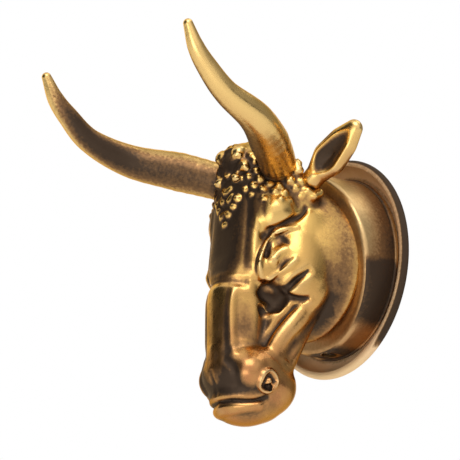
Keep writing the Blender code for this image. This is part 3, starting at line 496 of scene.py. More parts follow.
def head_painted_shade(points, normals):
    """Painted shade and painted dark reflections, darkening the forehead and the poll, the star
    under the eye, the nose's edges and the muzzle, the roots of horns and ears, and the neck behind
    the jaw."""
    points = fold(points)

    def near(spot, reach):
        return np.exp(-((points - spot) ** 2).sum(1) / reach**2)

    def spike(start, end, width):
        way = np.array(end) - start
        along = unit((points - start) @ way / (way @ way))
        gap = np.linalg.norm(points - start - along[:, None] * way, axis=1)
        return unit(1.4 - 1.4 * gap / (width * (1 - 0.75 * along)))

    # Every term below is painted shade or a painted dark reflection, not dirt on the casting
    front_shade = unit((-normals[:, 1] - 0.6) / 0.3) * unit((points[:, 2] + 10) / 3)
    neck = unit((points[:, 1] + 23) / 8)
    jowl = neck * unit((8 - points[:, 2]) / 26)
    throat = near((12.4, -19, -19), 6.5) + near((10.4, -23.5, -24.5), 3.5)
    poll = unit((points[:, 2] - 13) / 5) * unit((-21 - points[:, 1]) / 5)
    hollow, horn_root = near((9.2, -28.4, -12.4), 2.9), near((9.6, -29, 17.5), 5.6)
    ear_root = near((14, -22.5, 12.4), 3.4)
    nose, lip = near((6.6, -34, -19), 6), near((8, -28, -37), 6.5)
    chin, muzzle = near((5, -34, -41.5), 5.5), near((4.6, -38.2, -33), 4.6)
    band = spike((4.2, -38.4, -29), (3.8, -38.4, -8), 2.6)
    star = spike(STAR_MIDDLE, (14.2, -23.6, -6.4), STAR_WIDTH)
    for end in ((14.4, -21.6, -13), (8, -33, -9.6), (7.6, -31, -16.2)):
        star = np.maximum(star, spike(STAR_MIDDLE, end, STAR_WIDTH))
    painted_light = 0.45 * hollow + 0.4 * horn_root + 0.28 * ear_root + 0.33 * nose + 0.27 * lip
    painted_light += 0.4 * chin + 0.75 * muzzle + 0.3 * band + 0.22 * poll + 0.7 * star
    return painted_light + 0.32 * front_shade + 0.32 * neck + 0.14 * jowl + 0.2 * throat


def make_head():
    clay = Clay(head_form(), HEAD_GRAIN)
    clay.smooth(0.6)
    clay.smooth(1.35, where=unit((17 - clay.points[:, 2]) / 5))
    for work in (sculpt_nose, sculpt_eye, sculpt_cheek, sculpt_muzzle, curls, beads, horn_beads):
        work(clay)
    clay.smooth(0.35)
    return clay


# ---- horns and ears


def horn_painted_light(share, offset):
    """Painted shade round the root, and a painted dark reflection on the side towards the guitar's
    neck.

    Share is the place along the horn, and offset the way outwards there, as on the right side."""
    root = max(0, 1 - share / 0.16)
    inner = max(0, -0.75 * offset.x - 0.35 * offset.z - 0.05)
    return 0.6 * root + 0.8 * inner * min(1, 2.2 - 2 * share)


def sweep(name, line, radii, material):
    """A round bar along the line, closed at both ends and without a twist."""
    sides = 48
    form = bmesh.new()
    layer = form.verts.layers.float.new("hollow")
    rings = []
    across = Vector((0, 0, 1))
    for i, (place, radius) in enumerate(zip(line, radii)):
        ahead = (line[min(i + 1, len(line) - 1)] - line[max(i - 1, 0)]).normalized()
        across = (across - across.dot(ahead) * ahead).normalized()
        other = ahead.cross(across)
        ring = []
        for j in range(sides):
            turn = tau * j / sides
            offset = cos(turn) * across + sin(turn) * other
            ring.append(form.verts.new((place + float(radius) * offset) * MM))
            outwards = side(1 if place.x > 0 else -1, offset)
            # Painted shade at the root and a painted dark reflection on the inner side
            ring[-1][layer] = horn_painted_light(i / len(line), outwards)
        rings.append(ring)
    for low, high in zip(rings, rings[1:]):
        for j in range(sides):
            form.faces.new((low[j - 1], low[j], high[j], high[j - 1]))
    form.faces.new(rings[0][::-1])
    end = form.verts.new((line[-1] + 0.02 * ahead) * MM)
    for j in range(sides):
        form.faces.new((rings[-1][j - 1], rings[-1][j], end))
    bmesh.ops.recalc_face_normals(form, faces=form.faces)
    return add(name, to_mesh(name, form), material)


def make_horns(material):
    """Each horn's bar, with growth rings near its root that fade out, and a rounded tip."""
    centre = curve(HORN_LINE, 14)
    places = np.linspace(0, len(HORN_LINE) - 1, len(centre))
    sizes = np.interp(places, range(len(HORN_LINE)), HORN_RADII)
    for i in range(len(sizes)):
        fade = max(0, 1 - i / len(sizes) / GROWTH_RINGS) ** 0.5
        sizes[i] += GROWTH_RING_DEPTH * sin(1.9 * i) * fade
    tip = (centre[-1] - centre[-2]).normalized()
    end = sizes[-1]
    cap = [radians(a) for a in HORN_CAP]
    line = centre + [centre[-1] + tip * end * sin(a) for a in cap]
    radii = list(sizes) + [end * cos(a) for a in cap]
    for sign, label in SIDES:
        mirrored = [side(sign, p) for p in line]
        horn = sweep(f"{label}_horn_cast", mirrored, radii, material)
        shade(horn.data, SOFT_ANGLE)
        yield horn, f"{label}_horn"


def ear_leaf(inset):
    """The ear's outer form along Z, or for inset 1 the scoop that hollows it, set forward.

    Each station has its share of the ear's length, its half width and half depth as shares of the
    ear's width, how much of the wall comes off that depth, and its half length."""
    wall = EAR_WALL * inset
    forward = 0.34 * EAR_WIDTH * inset
    stations = (
        (0.13 + 0.12 * inset, 0.27, 0.26, 1, 1.6),
        (0.42, 0.5, 0.36, 0.8, 0.2 * EAR_LENGTH),
        (0.66, 0.44, 0.30, 0.8, 0.2 * EAR_LENGTH),
        (0.90 - 0.03 * inset, 0.25, 0.2, 0.6, 0.1 * EAR_LENGTH - wall),
    )
    ends = []
    for share, wide, deep, thin, long in stations:
        radii = (wide * EAR_WIDTH - wall, deep * EAR_WIDTH - thin * wall, long)
        ends.append(((0, -forward, share * EAR_LENGTH), radii))
    form = bmesh.new()
    limb(form, *ends)
    return form


def cup_painted_shade(points, normals):
    """Painted shade in the inner half of the ear's cup: most near its root, none on its rim or its
    back.
    """
    inward = unit(0.2 - 1.6 * normals[:, 1]) * unit((points[:, 1] + 2.5) / 1.2)
    inner = unit((1.6 - points[:, 0]) / 1.8)
    return 0.6 * inward * inner * unit((21 - points[:, 2]) / 9)


def make_ears(material):
    """A leaf hollowed into a cup that opens to the front, with three long grooves in the cup.

    It's made with Z along it and Y towards its back, and then placed on its root on the head."""
    for sign, label in SIDES:
        form = ear_leaf(0)
        root = (2.6, 2.6, 1.6)
        limb(form, ((0, 0, 1.4), root), ((0, 0, 0.16 * EAR_LENGTH), root))
        clay = Clay(form, EAR_GRAIN, scoop=ear_leaf(1), both=False)
        clay.smooth(0.6)
        for x, aside in ((-1.6, -0.5), (0.2, 0.1), (1.8, 0.6)):
            groove = [(x, 0.2, 5), (1.2 * x + aside, 1, 9.5), (0.6 * x, 1.2, 14.5)]
            clay.stroke(groove, 0.9, -0.35, taper=0.4)
        clay.smooth(0.25)

        # The cup's painted shade, mirrored for the left ear
        def painted_shade(points, normals, sign=sign):
            return cup_painted_shade(points * (sign, 1, 1), normals)

        place = facing(side(sign, EAR_ROOT) * MM, side(sign, EAR_POINTS), side(sign, EAR_BACK))
        yield clay.finish(f"{label}_ear_cast", material, place, painted_shade), f"{label}_ear"


# ---- turned pieces


DISC_FLOOR = 2.5
DISC_RIM_HEIGHT = 6.1
DISC_RIM_WALL = 2.5
GROOVE_HEIGHT = 4.55  # of the disc's groove, where the set screw seats
GROOVE_DEPTH = 1.0
DRUM_RADIUS = 21.0
DRUM_BORE = 16.8
DRUM_WEB = 2.2
DRUM_DEPTH = 12.0
DRUM_LEAN = 0.19
DRUM_EDGE = 1.3
DRUM_BACK = 2.0
FLANGE_RADIUS = 26.0
FLANGE_HEIGHT = 4.5
FLANGE_FLOOR = 1.7
FLANGE_LIP = 1.15
FLANGE_BORE = 17.1
FLANGE_FOOT = 21.6
FLANGE_RECESS = 0.8  # in its back, for the felt
FELT_OUTER = 20.1
FELT_THICKNESS = 0.5
WALL_SCREW_HEIGHTS = {"wall_screw_upper": 9.5, "wall_screw_lower": -6.5}
WALL_SCREW_LENGTH = 16
WALL_SCREW_SUNK = 0.15
WALL_SCREW_PITCH = 1.55
WALL_SCREW_THREAD = 0.55  # the depth of its thread
SET_SCREW_TILT = 12
SET_SCREW_TIP = 0.72
SET_SCREW_END = 4.9
SET_SCREW_RADIUS = 1.5
SET_SCREW_PITCH = 0.5
SET_SCREW_THREAD = 0.26
CUT_BEYOND = 3.0  # how far a cutter reaches past the surface that it opens


def arc(centre, radii, first, last, steps):
    """Points on an ellipse in a profile's plane. Angles in degrees, 0 outwards and 90 up."""
    (x, y), (wide, high) = centre, radii
    angles = [radians(first + (last - first) * i / steps) for i in range(steps + 1)]
    return [(x + wide * cos(a), y + high * sin(a)) for a in angles]


def fillet(profile, size):
    """The closed profile with each of its corners off the axis rounded."""
    steps = 3
    rounded = []
    for i, corner in enumerate(profile):
        here = Vector(corner)
        before = Vector(profile[i - 1]) - here
        after = Vector(profile[(i + 1) % len(profile)]) - here
        reach = min(size, before.length / 2.1, after.length / 2.1)
        if corner[0] < 0.001 or reach < 0.05 or before.angle(after) > radians(150):
            rounded.append(corner)
            continue
        start = here + before.normalized() * reach
        end = here + after.normalized() * reach
        for j in range(steps + 1):
            t = j / steps
            rounded.append(tuple((1 - t) ** 2 * start + 2 * t * (1 - t) * here + t**2 * end))
    return rounded


def lathe(name, profile, steps, place=WALL, bend=None, painted_light=None):
    """Turns a closed profile of (radius, height) points into a closed skin.

    Bend moves a point (x, y, height) before it is placed. The painted light, if given, gives the
    painted shade and painted highlight in the patina layer from the radius, height and y."""
    form = bmesh.new()
    rings = []
    for radius, height in profile:
        count = 1 if radius < 0.001 else steps
        ring = []
        for j in range(count):
            turn = tau * j / steps
            point = Vector((radius * cos(turn), radius * sin(turn), height))
            ring.append(form.verts.new(bend(point) if bend else point))
        rings.append(ring)
    for low, high in zip(rings, rings[1:] + rings[:1]):
        for j in range(steps):
            turns = ((low, j - 1), (low, j), (high, j), (high, j - 1))
            corners = list(dict.fromkeys(ring[i % len(ring)] for ring, i in turns))
            if len(corners) > 2:
                form.faces.new(corners)
    bmesh.ops.recalc_face_normals(form, faces=form.faces)
    layer = form.verts.layers.float.new("hollow")
    for vertex in form.verts:
        radius = hypot(vertex.co.x, vertex.co.y)
        # Painted shade and highlight go into the same layer as the patina
        vertex[layer] = painted_light(radius, vertex.co.z, vertex.co.y) if painted_light else 0
    bmesh.ops.transform(form, matrix=place @ Matrix.Scale(MM, 4), verts=form.verts)
    return raw_object(name, form)


def settled(obj, material, *cutters, sharpest=SHARP_ANGLE):
    """The object after the cutters' cuts, with smooth shading and its material."""
    for cutter in cutters:
        carve(obj, cutter)
    name = obj.name
    mesh = baked(obj, *cutters)
    shade(mesh, sharpest)
    return add(name, mesh, material)


def lean(point):
    """Leans the drum's front out at the top, and leaves its back as it is."""
    share = unit((point.z - DRUM_BACK) / (DRUM_DEPTH - DRUM_WEB - DRUM_BACK))
    return Vector((point.x, point.y, point.z + DRUM_LEAN * point.y * share))


def make_drum(material):
    """The drum with its rounded front edge, the bead at its foot and the set screw's hole."""
    web = DRUM_DEPTH - DRUM_WEB
    corner = (DRUM_RADIUS - DRUM_EDGE, DRUM_DEPTH - DRUM_EDGE)
    profile = [(0, DRUM_DEPTH), (12, DRUM_DEPTH)]
    profile += arc(corner, (DRUM_EDGE, DRUM_EDGE), 90, 0, 12)
    profile += [(DRUM_RADIUS, DRUM_BACK + 1.3)]
    profile += arc((DRUM_RADIUS, DRUM_BACK + 0.55), (0.5, 0.55), 90, -90, 10)
    profile += [(DRUM_BORE, DRUM_BACK), (DRUM_BORE, web), (0, web)]

    def painted_light(radius, height, up):
        """A little painted shade everywhere, more over the front face and bore, above the bead,
        behind the front edge and at the bottom round the set screw, and a painted dark reflection
        in a band low on each side.
        """
        if radius <= DRUM_RADIUS - 0.5:
            return 0.2
        bead = max(0, 1 - abs(height - DRUM_BACK - 1.35) / 0.7)
        front_shade = max(0, 1 - abs(height - DRUM_DEPTH + 1.6) / 0.9)
        patch = unit(min(-up - 1.5, up + 17.5) / 2.5) + unit((-up - 19.7) / 0.8)
        return 0.10 + 0.42 * bead + 0.12 * front_shade + 0.4 * patch

    drum = lathe("drum_turned", profile, 192, bend=lean, painted_light=painted_light)
    bore = SET_SCREW_RADIUS + 0.3
    sides = [(0, DRUM_RADIUS), (bore, DRUM_RADIUS), (bore, -2), (0, -2)]
    return settled(drum, material, lathe("set_screw_hole", sides, 32, set_screw_frame()))


def make_flange(material):
    """The dished flange with its rolled lip and the felt's recess in its back."""
    lip = (FLANGE_RADIUS - FLANGE_LIP, FLANGE_HEIGHT - FLANGE_LIP)
    start = DRUM_RADIUS + 0.4
    radii = (lip[0] - 0.5 * FLANGE_LIP - start, FLANGE_HEIGHT - 0.2 - FLANGE_FLOOR)
    profile = [(FLANGE_BORE, FLANGE_FLOOR)]
    profile += arc((start, FLANGE_FLOOR + radii[1]), radii, -90, -10, 16)
    profile += arc(lip, (FLANGE_LIP, FLANGE_LIP), 110, -80, 20)
    profile += [(FLANGE_FOOT + 1.9, 1.05), (FLANGE_FOOT, 0), (FELT_OUTER + 0.3, 0)]
    profile += [(FELT_OUTER + 0.3, FLANGE_RECESS), (FLANGE_BORE, FLANGE_RECESS)]

    def painted_light(radius, height, up):
        """Painted shade beside the drum, a painted dark reflection outside the lip on its upper
        part, and a painted highlight on the lip's lowest part.
        """
        corner = max(0, 1 - abs(radius - DRUM_RADIUS - 0.7) / 0.8) if height > 1.2 else 0
        rim = unit((radius - lip[0] + 1.2) / 0.8)
        outside = unit((radius - lip[0] - 0.4) / 0.5)
        upper = unit((up + 24.5) / 6)
        return 0.04 + 0.2 * corner + (0.12 * rim + 0.7 * outside) * upper - 0.5 * rim * (1 - upper)

    return settled(lathe("flange_dish", profile, 224, painted_light=painted_light), material)


def wall_screw_frame(height):
    """The wall's frame at this height on the disc."""
    return WALL @ Matrix.Translation((0, height * MM, 0))


def make_disc(material):
    """The dished mounting disc with the groove round its rim and two countersunk holes."""
    inner = DISC_RADIUS - DISC_RIM_WALL
    bottom = DISC_RADIUS - GROOVE_DEPTH
    profile = [(0, DISC_FLOOR), (inner, DISC_FLOOR), (inner, DISC_RIM_HEIGHT)]
    profile += [(DISC_RADIUS, DISC_RIM_HEIGHT), (DISC_RADIUS, GROOVE_HEIGHT + 1.4)]
    profile += [(bottom, GROOVE_HEIGHT + 0.43), (bottom, GROOVE_HEIGHT - 0.43)]
    profile += [(DISC_RADIUS, GROOVE_HEIGHT - 1.4), (DISC_RADIUS, 0), (0, 0)]
    disc = lathe("disc_turned", fillet(profile, 0.25), 160)
    sink = [(0, 6), (4.12, 6), (4.12, DISC_FLOOR), (2.3, DISC_FLOOR - 1.82)]
    sink += [(2.3, -CUT_BEYOND), (0, -CUT_BEYOND)]
    places = [wall_screw_frame(height) for height in WALL_SCREW_HEIGHTS.values()]
    return settled(disc, material, *[lathe("screw_hole", sink, 64, place) for place in places])


def make_felt(material):
    """The felt ring, with soft edges and an uneven, fibrous skin."""
    radii = (FLANGE_BORE, FLANGE_BORE + 1, FELT_OUTER - 1, FELT_OUTER)
    profile = [(FLANGE_BORE, 0)] + [(radius, FELT_THICKNESS) for radius in radii]
    profile += [(radius, 0) for radius in reversed(radii[1:])]

    def fuzz(point):
        rough = noise.noise(point * 1.7)
        raised = 0.05 * rough if point.z > FELT_THICKNESS / 2 else 0.03 + 0.03 * rough
        return Vector((point.x, point.y, point.z + raised))

    pad = lathe("felt_pad", fillet(profile, 0.12), 240, bend=fuzz)
    return settled(pad, material, sharpest=80)


# ---- fasteners


def threaded(name, profile, pitch, depth, place, low, high, rows):
    """A turned screw with a helical thread, cut into its shank between two heights.

    The profile runs down the outer side, and has this many rows for each turn of the thread."""
    outer = []
    for (r0, h0), (r1, h1) in zip(profile, profile[1:]):
        count = 1
        if min(h0, h1) < high and max(h0, h1) > low:
            count = max(1, ceil(abs(h1 - h0) / pitch * rows))
        for i in range(count):
            t = i / count
            outer.append((r0 + (r1 - r0) * t, h0 + (h1 - h0) * t))
    outer.append(profile[-1])

    def cut(point):
        radius = hypot(point.x, point.y)
        if radius < 0.001 or not low < point.z < high:
            return point
        phase = (point.z / pitch - atan2(point.y, point.x) / tau) % 1
        ridge = max(0, 1 - abs(phase - 0.5) / 0.38)
        fade = min(1, (high - point.z) / pitch, (point.z - low) / (0.5 * pitch) + 0.3)
        left = 1 - depth * (1 - ridge) * fade * min(1, radius / 1.2) / radius
        return Vector((point.x * left, point.y * left, point.z))

    return lathe(name, outer, 32, place, bend=cut)


def cross_recess(place, top, reach, deep):
    """A four-winged tapered driver's recess, as a cutter."""
    form = bmesh.new()
    for turn in (45, 135):
        spin = Matrix.Rotation(radians(turn), 4, "Z")
        rows = []
        for z, long, wide in ((top + 0.6, reach * 1.15, 0.62), (top - deep, reach * 0.42, 0.4)):
            row = [(long, wide), (-long, wide), (-long, -wide), (long, -wide)]
            rows.append([form.verts.new(place @ spin @ Vector((x, y, z))) for x, y in row])
        upper, lower = rows
        form.faces.new(upper)
        form.faces.new(lower[::-1])
        for i in range(4):
            form.faces.new((upper[i - 1], lower[i - 1], lower[i], upper[i]))
    bmesh.ops.recalc_face_normals(form, faces=form.faces)
    return raw_object("recess", form)


def make_wall_screws(material):
    """The two countersunk wood screws, each with its point, thread and cross recess."""
    top = DISC_FLOOR - WALL_SCREW_SUNK
    end = top - WALL_SCREW_LENGTH
    profile = [(0, top), (3.35, top), (3.7, top - 0.14), (2.0, top - 1.75)]
    profile += [(2.0, end + 4), (0.4, end), (0, end)]
    thread = (WALL_SCREW_PITCH, WALL_SCREW_THREAD)
    for node, height in WALL_SCREW_HEIGHTS.items():
        place = wall_screw_frame(height)
        screw = threaded(f"{node}_threaded", profile, *thread, place, end + 0.2, -0.6, 9)
        recess = fuse(cross_recess(place @ Matrix.Scale(MM, 4), top, 1.9, 1.5), 0.12)
        yield settled(screw, material, recess), node


def set_screw_frame():
    """The bottom of the disc's groove, with Z along the set screw, out and down."""
    tilt = radians(SET_SCREW_TILT)
    start = Vector((0, -GROOVE_HEIGHT, GROOVE_DEPTH - DISC_RADIUS)) * MM
    return facing(start, (0, -sin(tilt), -cos(tilt)), up=(0, -1, 0))


def make_set_screw(material):
    """The grub screw with its cone point, thread and hexagon socket."""
    low, high, radius = SET_SCREW_TIP, SET_SCREW_END, SET_SCREW_RADIUS
    place = set_screw_frame()
    profile = [(0, high), (radius - 0.25, high), (radius, high - 0.25)]
    profile += [(radius, low + 0.95), (0.55, low), (0, low)]
    thread = (SET_SCREW_PITCH, SET_SCREW_THREAD)
    screw = threaded("set_screw_threaded", profile, *thread, place, low + 0.5, high - 0.1, 7)
    sides = [(0, high + 1), (0.75, high + 1), (0.75, high - 1.9), (0, high - 2.3)]
    return settled(screw, material, lathe("socket", sides, 6, place))


# ---- materials


class Nodes:
    """A node tree, with short calls to add and link nodes."""

    def __init__(self, tree):
        self.tree = tree

    def put(self, socket, value):
        """Links the socket to another one, or sets its constant."""
        if isinstance(value, bpy.types.NodeSocket):
            self.tree.links.new(value, socket)
        else:
            socket.default_value = (*value, 1) if socket.type == "RGBA" else value

    def set(self, made, **values):
        """Sets sockets and properties of the node by their names."""
        for key, value in values.items():
            if key in made.inputs:
                self.put(made.inputs[key], value)
            else:
                setattr(made, key, value)

    def node(self, kind, **values):
        made = self.tree.nodes.new(kind)
        self.set(made, **values)
        return made

    def output(self, kind, *values, **properties):
        """The output of a new node that has these values in its sockets, in their order."""
        made = self.node(kind, **properties)
        sockets = [socket for socket in made.inputs if socket.enabled]
        for socket, value in zip(sockets, values):
            self.put(socket, value)
        return next(socket for socket in made.outputs if socket.enabled)

    def remap(self, value, low, high, to_low=0, to_high=1, kind="LINEAR"):
        values = (value, low, high, to_low, to_high)
        return self.output("ShaderNodeMapRange", *values, interpolation_type=kind)

    def maths(self, operation, a, b):
        return self.output("ShaderNodeMath", a, b, operation=operation)

    def mix(self, share, first, second, kind="RGBA"):
        """A value between the two, which are colours, numbers or links."""
        return self.output("ShaderNodeMix", share, first, second, data_type=kind)

    def mirrored(self, rays):
        """1 for a ray that a glossy or clear surface sends on, and 0 for the others."""
        return self.maths("MAXIMUM", rays["Is Glossy Ray"], rays["Is Transmission Ray"])


class Shader(Nodes):
    """A new material with a Principled surface."""

    def __init__(self, name, colour, roughness, metallic):
        self.material = bpy.data.materials.new(name)
        self.material.use_nodes = True
        super().__init__(self.material.node_tree)
        self.surface = self.tree.nodes["Principled BSDF"]
        self.link(Base_Color=colour, Roughness=roughness, Metallic=metallic)
        self.coordinates = self.node("ShaderNodeTexCoord").outputs

    def link(self, **values):
        """Sets sockets of the surface."""
        self.set(self.surface, **{key.replace("_", " "): value for key, value in values.items()})

    def noise(self, size, detail=4, stretch=(1, 1, 1), rough=0.6):
        """Noise from 0 to 1 whose marks are about this many millimetres across."""
        scale = tuple(1 / (size * MM * s) for s in stretch)
        place = self.node("ShaderNodeMapping", Vector=self.coordinates["Object"], Scale=scale)
        return self.output("ShaderNodeTexNoise", place.outputs[0], 1, detail, rough)

    def bump(self, height, distance):
        """Adds relief, this many millimetres deep, to what is there."""
        made = self.node("ShaderNodeBump", Distance=distance * MM, Height=height)
        before = self.surface.inputs["Normal"]
        if before.is_linked:
            self.put(made.inputs["Normal"], before.links[0].from_socket)
        self.put(before, made.outputs[0])


COPPER_REFLECTION = (0.41, 0.18, 0.07)
WORN_GOLD_AND_HIGHLIGHT = (0.84, 0.62, 0.30)
# The brown and the near-black colours serve the patina in the hollows and also the painted shade
# and painted dark reflections in the same layer
BROWN = (0.26, 0.135, 0.055)
DARK_PATINA_AND_SHADE = (0.050, 0.032, 0.022)
GLOSS_TINT = (0.86, 0.62, 0.36)


def antique_gold(name, gold=(0.68, 0.43, 0.125), copper_reflection=(0.15, 1.0), front_shade_share=0.0, satin=0.0):
    """Polished gold-plated casting: brown patina and painted shade in its hollows, worn gold on its
    ridges and painted highlights, and a coppery painted reflection low down and on faces that look
    down.

    The copper pair gives that painted reflection's share at the top and at the bottom, the front
    share a painted dark reflection and shade on faces that look to the front, and satin the
    roughness beyond a polished casting's."""
    shader = Shader(name, gold, 0.24, 1)
    hollow = shader.node("ShaderNodeAttribute", attribute_name="hollow").outputs["Fac"]
    blotch = shader.noise(6, 5)
    speck = shader.noise(0.7, 6)
    place, normal = (
        shader.node("ShaderNodeSeparateXYZ", Vector=shader.coordinates[kind]).outputs
        for kind in ("Object", "Normal")
    )
    # Painted dark reflection and shade on faces that look to the front, in streaks
    front_shade = shader.remap(normal["Y"], -0.72, -0.98, 0, front_shade_share)
    streak = shader.remap(shader.noise(3, 5, (0.4, 1, 2.5)), 0.25, 0.7, 0.55, 1)
    depth = shader.maths("ADD", hollow, shader.remap(speck, 0.3, 0.8, -0.07, 0.08))
    depth = shader.maths("ADD", depth, shader.maths("MULTIPLY", front_shade, streak))
    patina_and_shade = shader.remap(depth, 0.10, 0.50)
    ridge = shader.remap(hollow, -0.12, -0.6)
    # Painted warm reflection: a coppery tone by height in the object and on faces that look down,
    # in blotches
    low = shader.remap(place["Z"], 0.006, -0.030, *copper_reflection)
    share = shader.maths("MULTIPLY", low, shader.remap(blotch, 0.3, 0.65, 0.6, 1))
    underside_reflection = shader.remap(normal["Z"], -0.35, -0.95, 0, copper_reflection[1])
    colour = shader.mix(shader.maths("MAXIMUM", share, underside_reflection), gold, COPPER_REFLECTION)
    # Worn gold on the ridges, and a painted highlight where the layer goes below zero, as on the
    # flange's lowest lip
    colour = shader.mix(shader.maths("MULTIPLY", ridge, 0.42), colour, WORN_GOLD_AND_HIGHLIGHT)
    # These coats give the patina in the hollows together with the painted shade and painted dark
    # reflections
    colour = shader.mix(shader.remap(patina_and_shade, 0, 0.55), colour, BROWN)
    colour = shader.mix(shader.remap(patina_and_shade, 0.4, 1), colour, DARK_PATINA_AND_SHADE)
    rough = shader.remap(shader.noise(2.2, 6), 0.3, 0.75, 0.19 + satin, 0.31 + satin)
    rough = shader.maths("ADD", rough, shader.maths("MULTIPLY", patina_and_shade, 0.25))
    metallic = shader.remap(patina_and_shade, 0.3, 1, 1 - satin, 0.7 - satin)
    shader.link(Base_Color=colour, Roughness=rough, Metallic=metallic, Specular_Tint=GLOSS_TINT)
    shader.bump(shader.noise(0.9, 5), 0.03)
    shader.bump(shader.noise(0.25, 2, (1, 1, 9)), 0.005)
    return shader.material


def brushed_steel(name, colour=(0.56, 0.56, 0.55), across=(1, 1, 14), rough=0.28):
    """Plated steel with fine machining lines and a little staining."""
    shader = Shader(name, colour, rough, 1)
    stain = shader.remap(shader.noise(5, 5), 0.4, 0.8, 0, 0.5)
    grain = shader.noise(0.12, 3, across)
    tone = shader.mix(stain, colour, tuple(c * 0.62 for c in colour))
    roughness = shader.remap(grain, 0.3, 0.7, rough - 0.07, rough + 0.12)
    shader.link(Base_Color=tone, Roughness=roughness)
    shader.bump(grain, 0.012)
    return shader.material


def black_steel(name):
    """Steel with a black oxide finish, worn to grey at its highest grain."""
    shader = Shader(name, (0.03, 0.03, 0.032), 0.42, 0.9)
    wear = shader.noise(0.8, 6)
    tone = shader.mix(shader.remap(wear, 0.58, 0.75), (0.022, 0.022, 0.024), (0.16, 0.16, 0.165))
    shader.link(Base_Color=tone, Roughness=shader.remap(wear, 0.3, 0.7, 0.5, 0.32))
    shader.bump(shader.noise(0.2, 4), 0.012)
    return shader.material


def felt(name):
    """Dark wool felt: matted fibres with a soft sheen."""
    shader = Shader(name, (0.035, 0.034, 0.036), 0.95, 0)
    shader.link(Sheen_Weight=0.2, Sheen_Roughness=0.6)
    fibre = shader.noise(0.16, 8, rough=0.8)
    mottle = shader.noise(1.6, 6)
    tone = shader.mix(shader.remap(fibre, 0.35, 0.7), (0.018, 0.017, 0.019), (0.085, 0.082, 0.084))
    tone = shader.mix(shader.remap(mottle, 0.4, 0.7, 0, 0.5), tone, (0.03, 0.029, 0.032))
    shader.link(Base_Color=tone)
    shader.bump(fibre, 0.12)
    return shader.material


# ---- assembly


def cut_back(obj):
    """Cuts the head off flat, a hair in front of the drum's leaning face, and closes the cut."""
    form = bmesh.new()
    form.from_mesh(obj.data)
    plane = Vector((0, -DRUM_DEPTH - 0.02, 0)) * MM
    outwards = Vector((0, 1, DRUM_LEAN)).normalized()
    geometry = form.verts[:] + form.edges[:] + form.faces[:]
    bmesh.ops.bisect_plane(form, geom=geometry, plane_co=plane, plane_no=outwards, clear_outer=True)
    rim = [edge for edge in form.edges if edge.is_boundary]
    made = bmesh.ops.holes_fill(form, edges=rim, sides=0)
    for item in (*rim, *made["faces"]):
        item.smooth = False
    form.to_mesh(obj.data)
    form.free()


gold = antique_gold("antique_gold_cast", front_shade_share=0.34)
horn_gold = antique_gold("antique_gold_horn", (0.80, 0.54, 0.20), (0.1, 0.3))
drum_gold = antique_gold("antique_gold_drum", (0.54, 0.37, 0.17), (0.1, 0.75), satin=0.08)
# A lighter copy of the gold for the flange: painted light that makes up for the shade on its dish
lit_flange_gold = antique_gold("antique_gold_flange", (0.88, 0.64, 0.38), (0.35, 0.05), satin=0.34)
steel = brushed_steel("bright_steel_turned")
screw_steel = brushed_steel("zinc_steel", (0.62, 0.62, 0.60), (1, 1, 3), 0.22)
oxide = black_steel("black_oxide")
wool = felt("wool_felt")

head = make_head().finish("head_cast", gold, painted_shade=head_painted_shade)
cut_back(head)
pieces = {
    "antique_gold": [
        (head, "bull_head"),
        *make_horns(horn_gold),
        *make_ears(gold),
        (make_drum(drum_gold), "drum"),
        (make_flange(lit_flange_gold), "flange"),
    ],
    "bright_steel": [(make_disc(steel), "mounting_disc"), *make_wall_screws(screw_steel)],
    "black_steel": [(make_set_screw(oxide), "set_screw")],
    "dark_felt": [(make_felt(wool), "felt_ring")],
}
for slot, made in pieces.items():
    for obj, node in made:
        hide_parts(node)
        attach(obj, "root")
for obj in bpy.data.objects:
    if obj.name in frame["nodes"] and not obj.hide_render:
        for entry in obj.material_slots:
            entry.material = oxide if obj.name == "head_bolt" else steel


# ---- room, light and camera


VIEW_AZIMUTH = 52.0
VIEW_ELEVATION = -15.3
VIEW_DISTANCE = 1.5
VIEW_RIGHT = Vector((0.6157, 0.788, 0))
VIEW_UP = Vector((0.208, -0.1625, 0.9646))
VIEW_CENTRE = (VIEW_RIGHT * -27.55 + VIEW_UP * 9.9) * 0.001
FRAME_WIDTH = 0.1078
FLOOR_HEIGHT = -0.45
FLOOR_SIZE = 6
FLOOR_GLOW = 0.32

# Zones of the sky: the way to each one's middle, the cosines at which it starts and is full, and
# its strength outside and inside. The brightest of the first three counts, and the others dim it.
LIGHT_ZONE = ((0.45, -0.78, 0.44), -0.2, 0.75, 0.34, 1.25)
FLOOR_ZONE = ((-0.3, 0.2, -0.93), 0.35, 0.95, 0, 1.0)
BACKDROP_ZONE = ((-0.93, 0.25, 0.26), 0.5, 0.85, 0, 1.25)
NECK_ZONE = ((-0.33, -0.90, 0.27), 0.68, 0.88, 1, 0.04)  # where the guitar's neck would be
ROOM_ZONE = ((0.72, 0.60, -0.33), 0.84, 0.95, 1, 0.1)
DULL_SHARE = 0.85  # of that strength, for the rays that dull surfaces send on

# Soft square lamps that face the object: name, place and size in metres, and power in watts
LAMPS = (
    ("key", (0.75, -0.55, 0.85), 0.8, 6),
    ("fill", (0.5, -0.8, -0.36), 0.6, 2.2),
    ("rim", (0.2, 0.5, 1.0), 0.6, 2),
)


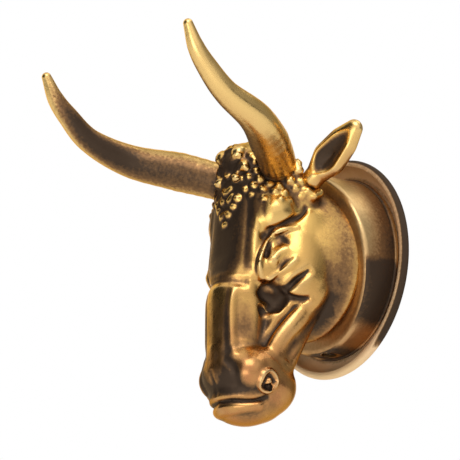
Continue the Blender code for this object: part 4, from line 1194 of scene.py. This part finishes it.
def make_floor():
    """A pale floor that glows faintly for all rays but those that dull surfaces send on."""
    form = bmesh.new()
    bmesh.ops.create_grid(form, x_segments=1, y_segments=1, size=FLOOR_SIZE)
    shader = Shader("pale_floor", (0.8, 0.8, 0.79), 0.7, 0)
    tone = shader.mix(shader.noise(120, 4), (0.78, 0.78, 0.77), (0.83, 0.83, 0.82))
    rays = shader.node("ShaderNodeLightPath").outputs
    direct = shader.maths("MAXIMUM", rays["Is Camera Ray"], shader.mirrored(rays))
    glow = shader.maths("MULTIPLY", direct, FLOOR_GLOW)
    shader.link(Base_Color=tone, Emission_Color=(1, 1, 1), Emission_Strength=glow)
    floor = add("floor", to_mesh("floor", form), shader.material)
    floor.location.z = FLOOR_HEIGHT


def make_world():
    """A sky that the camera sees as even white, and all other rays as bright and dark zones, so
    that polished metal shows its form. Glossy and clear surfaces see the zones in full."""
    world = bpy.data.worlds.new("studio")
    world.use_nodes = True
    bpy.context.scene.world = world
    sky = Nodes(world.node_tree)
    rays = sky.node("ShaderNodeLightPath").outputs
    way = sky.node("ShaderNodeTexCoord").outputs["Generated"]

    def zone(middle, start, full, outside, inside):
        cosine = sky.output("ShaderNodeVectorMath", way, middle, operation="DOT_PRODUCT")
        return sky.remap(cosine, start, full, outside, inside, "SMOOTHSTEP")

    seen = sky.maths("MAXIMUM", zone(*LIGHT_ZONE), zone(*FLOOR_ZONE))
    seen = sky.maths("MAXIMUM", seen, zone(*BACKDROP_ZONE))
    seen = sky.maths("MULTIPLY", seen, zone(*NECK_ZONE))
    seen = sky.maths("MULTIPLY", seen, zone(*ROOM_ZONE))
    dull = sky.maths("MULTIPLY", seen, DULL_SHARE)
    strength = sky.mix(sky.mirrored(rays), dull, seen, "FLOAT")
    strength = sky.mix(rays["Is Camera Ray"], strength, 1, "FLOAT")
    sky.set(sky.tree.nodes["Background"], Color=(1, 1, 1), Strength=strength)


def make_camera():
    azimuth = radians(VIEW_AZIMUTH)
    elevation = radians(VIEW_ELEVATION)
    level = cos(elevation)
    away = Vector((sin(azimuth) * level, -cos(azimuth) * level, sin(elevation)))
    data = bpy.data.cameras.new("camera")
    data.lens = data.sensor_width * VIEW_DISTANCE / FRAME_WIDTH
    data.clip_end = 20
    camera = linked("camera", data)
    camera.matrix_world = facing(VIEW_CENTRE + away * VIEW_DISTANCE, away)
    bpy.context.scene.camera = camera


make_floor()
make_world()
make_camera()
for name, place, size, power in LAMPS:
    light = bpy.data.lights.new(name, "AREA")
    light.size = size
    light.energy = power
    linked(name, light).matrix_world = facing(place, place)
bpy.context.scene.view_settings.view_transform = "Standard"
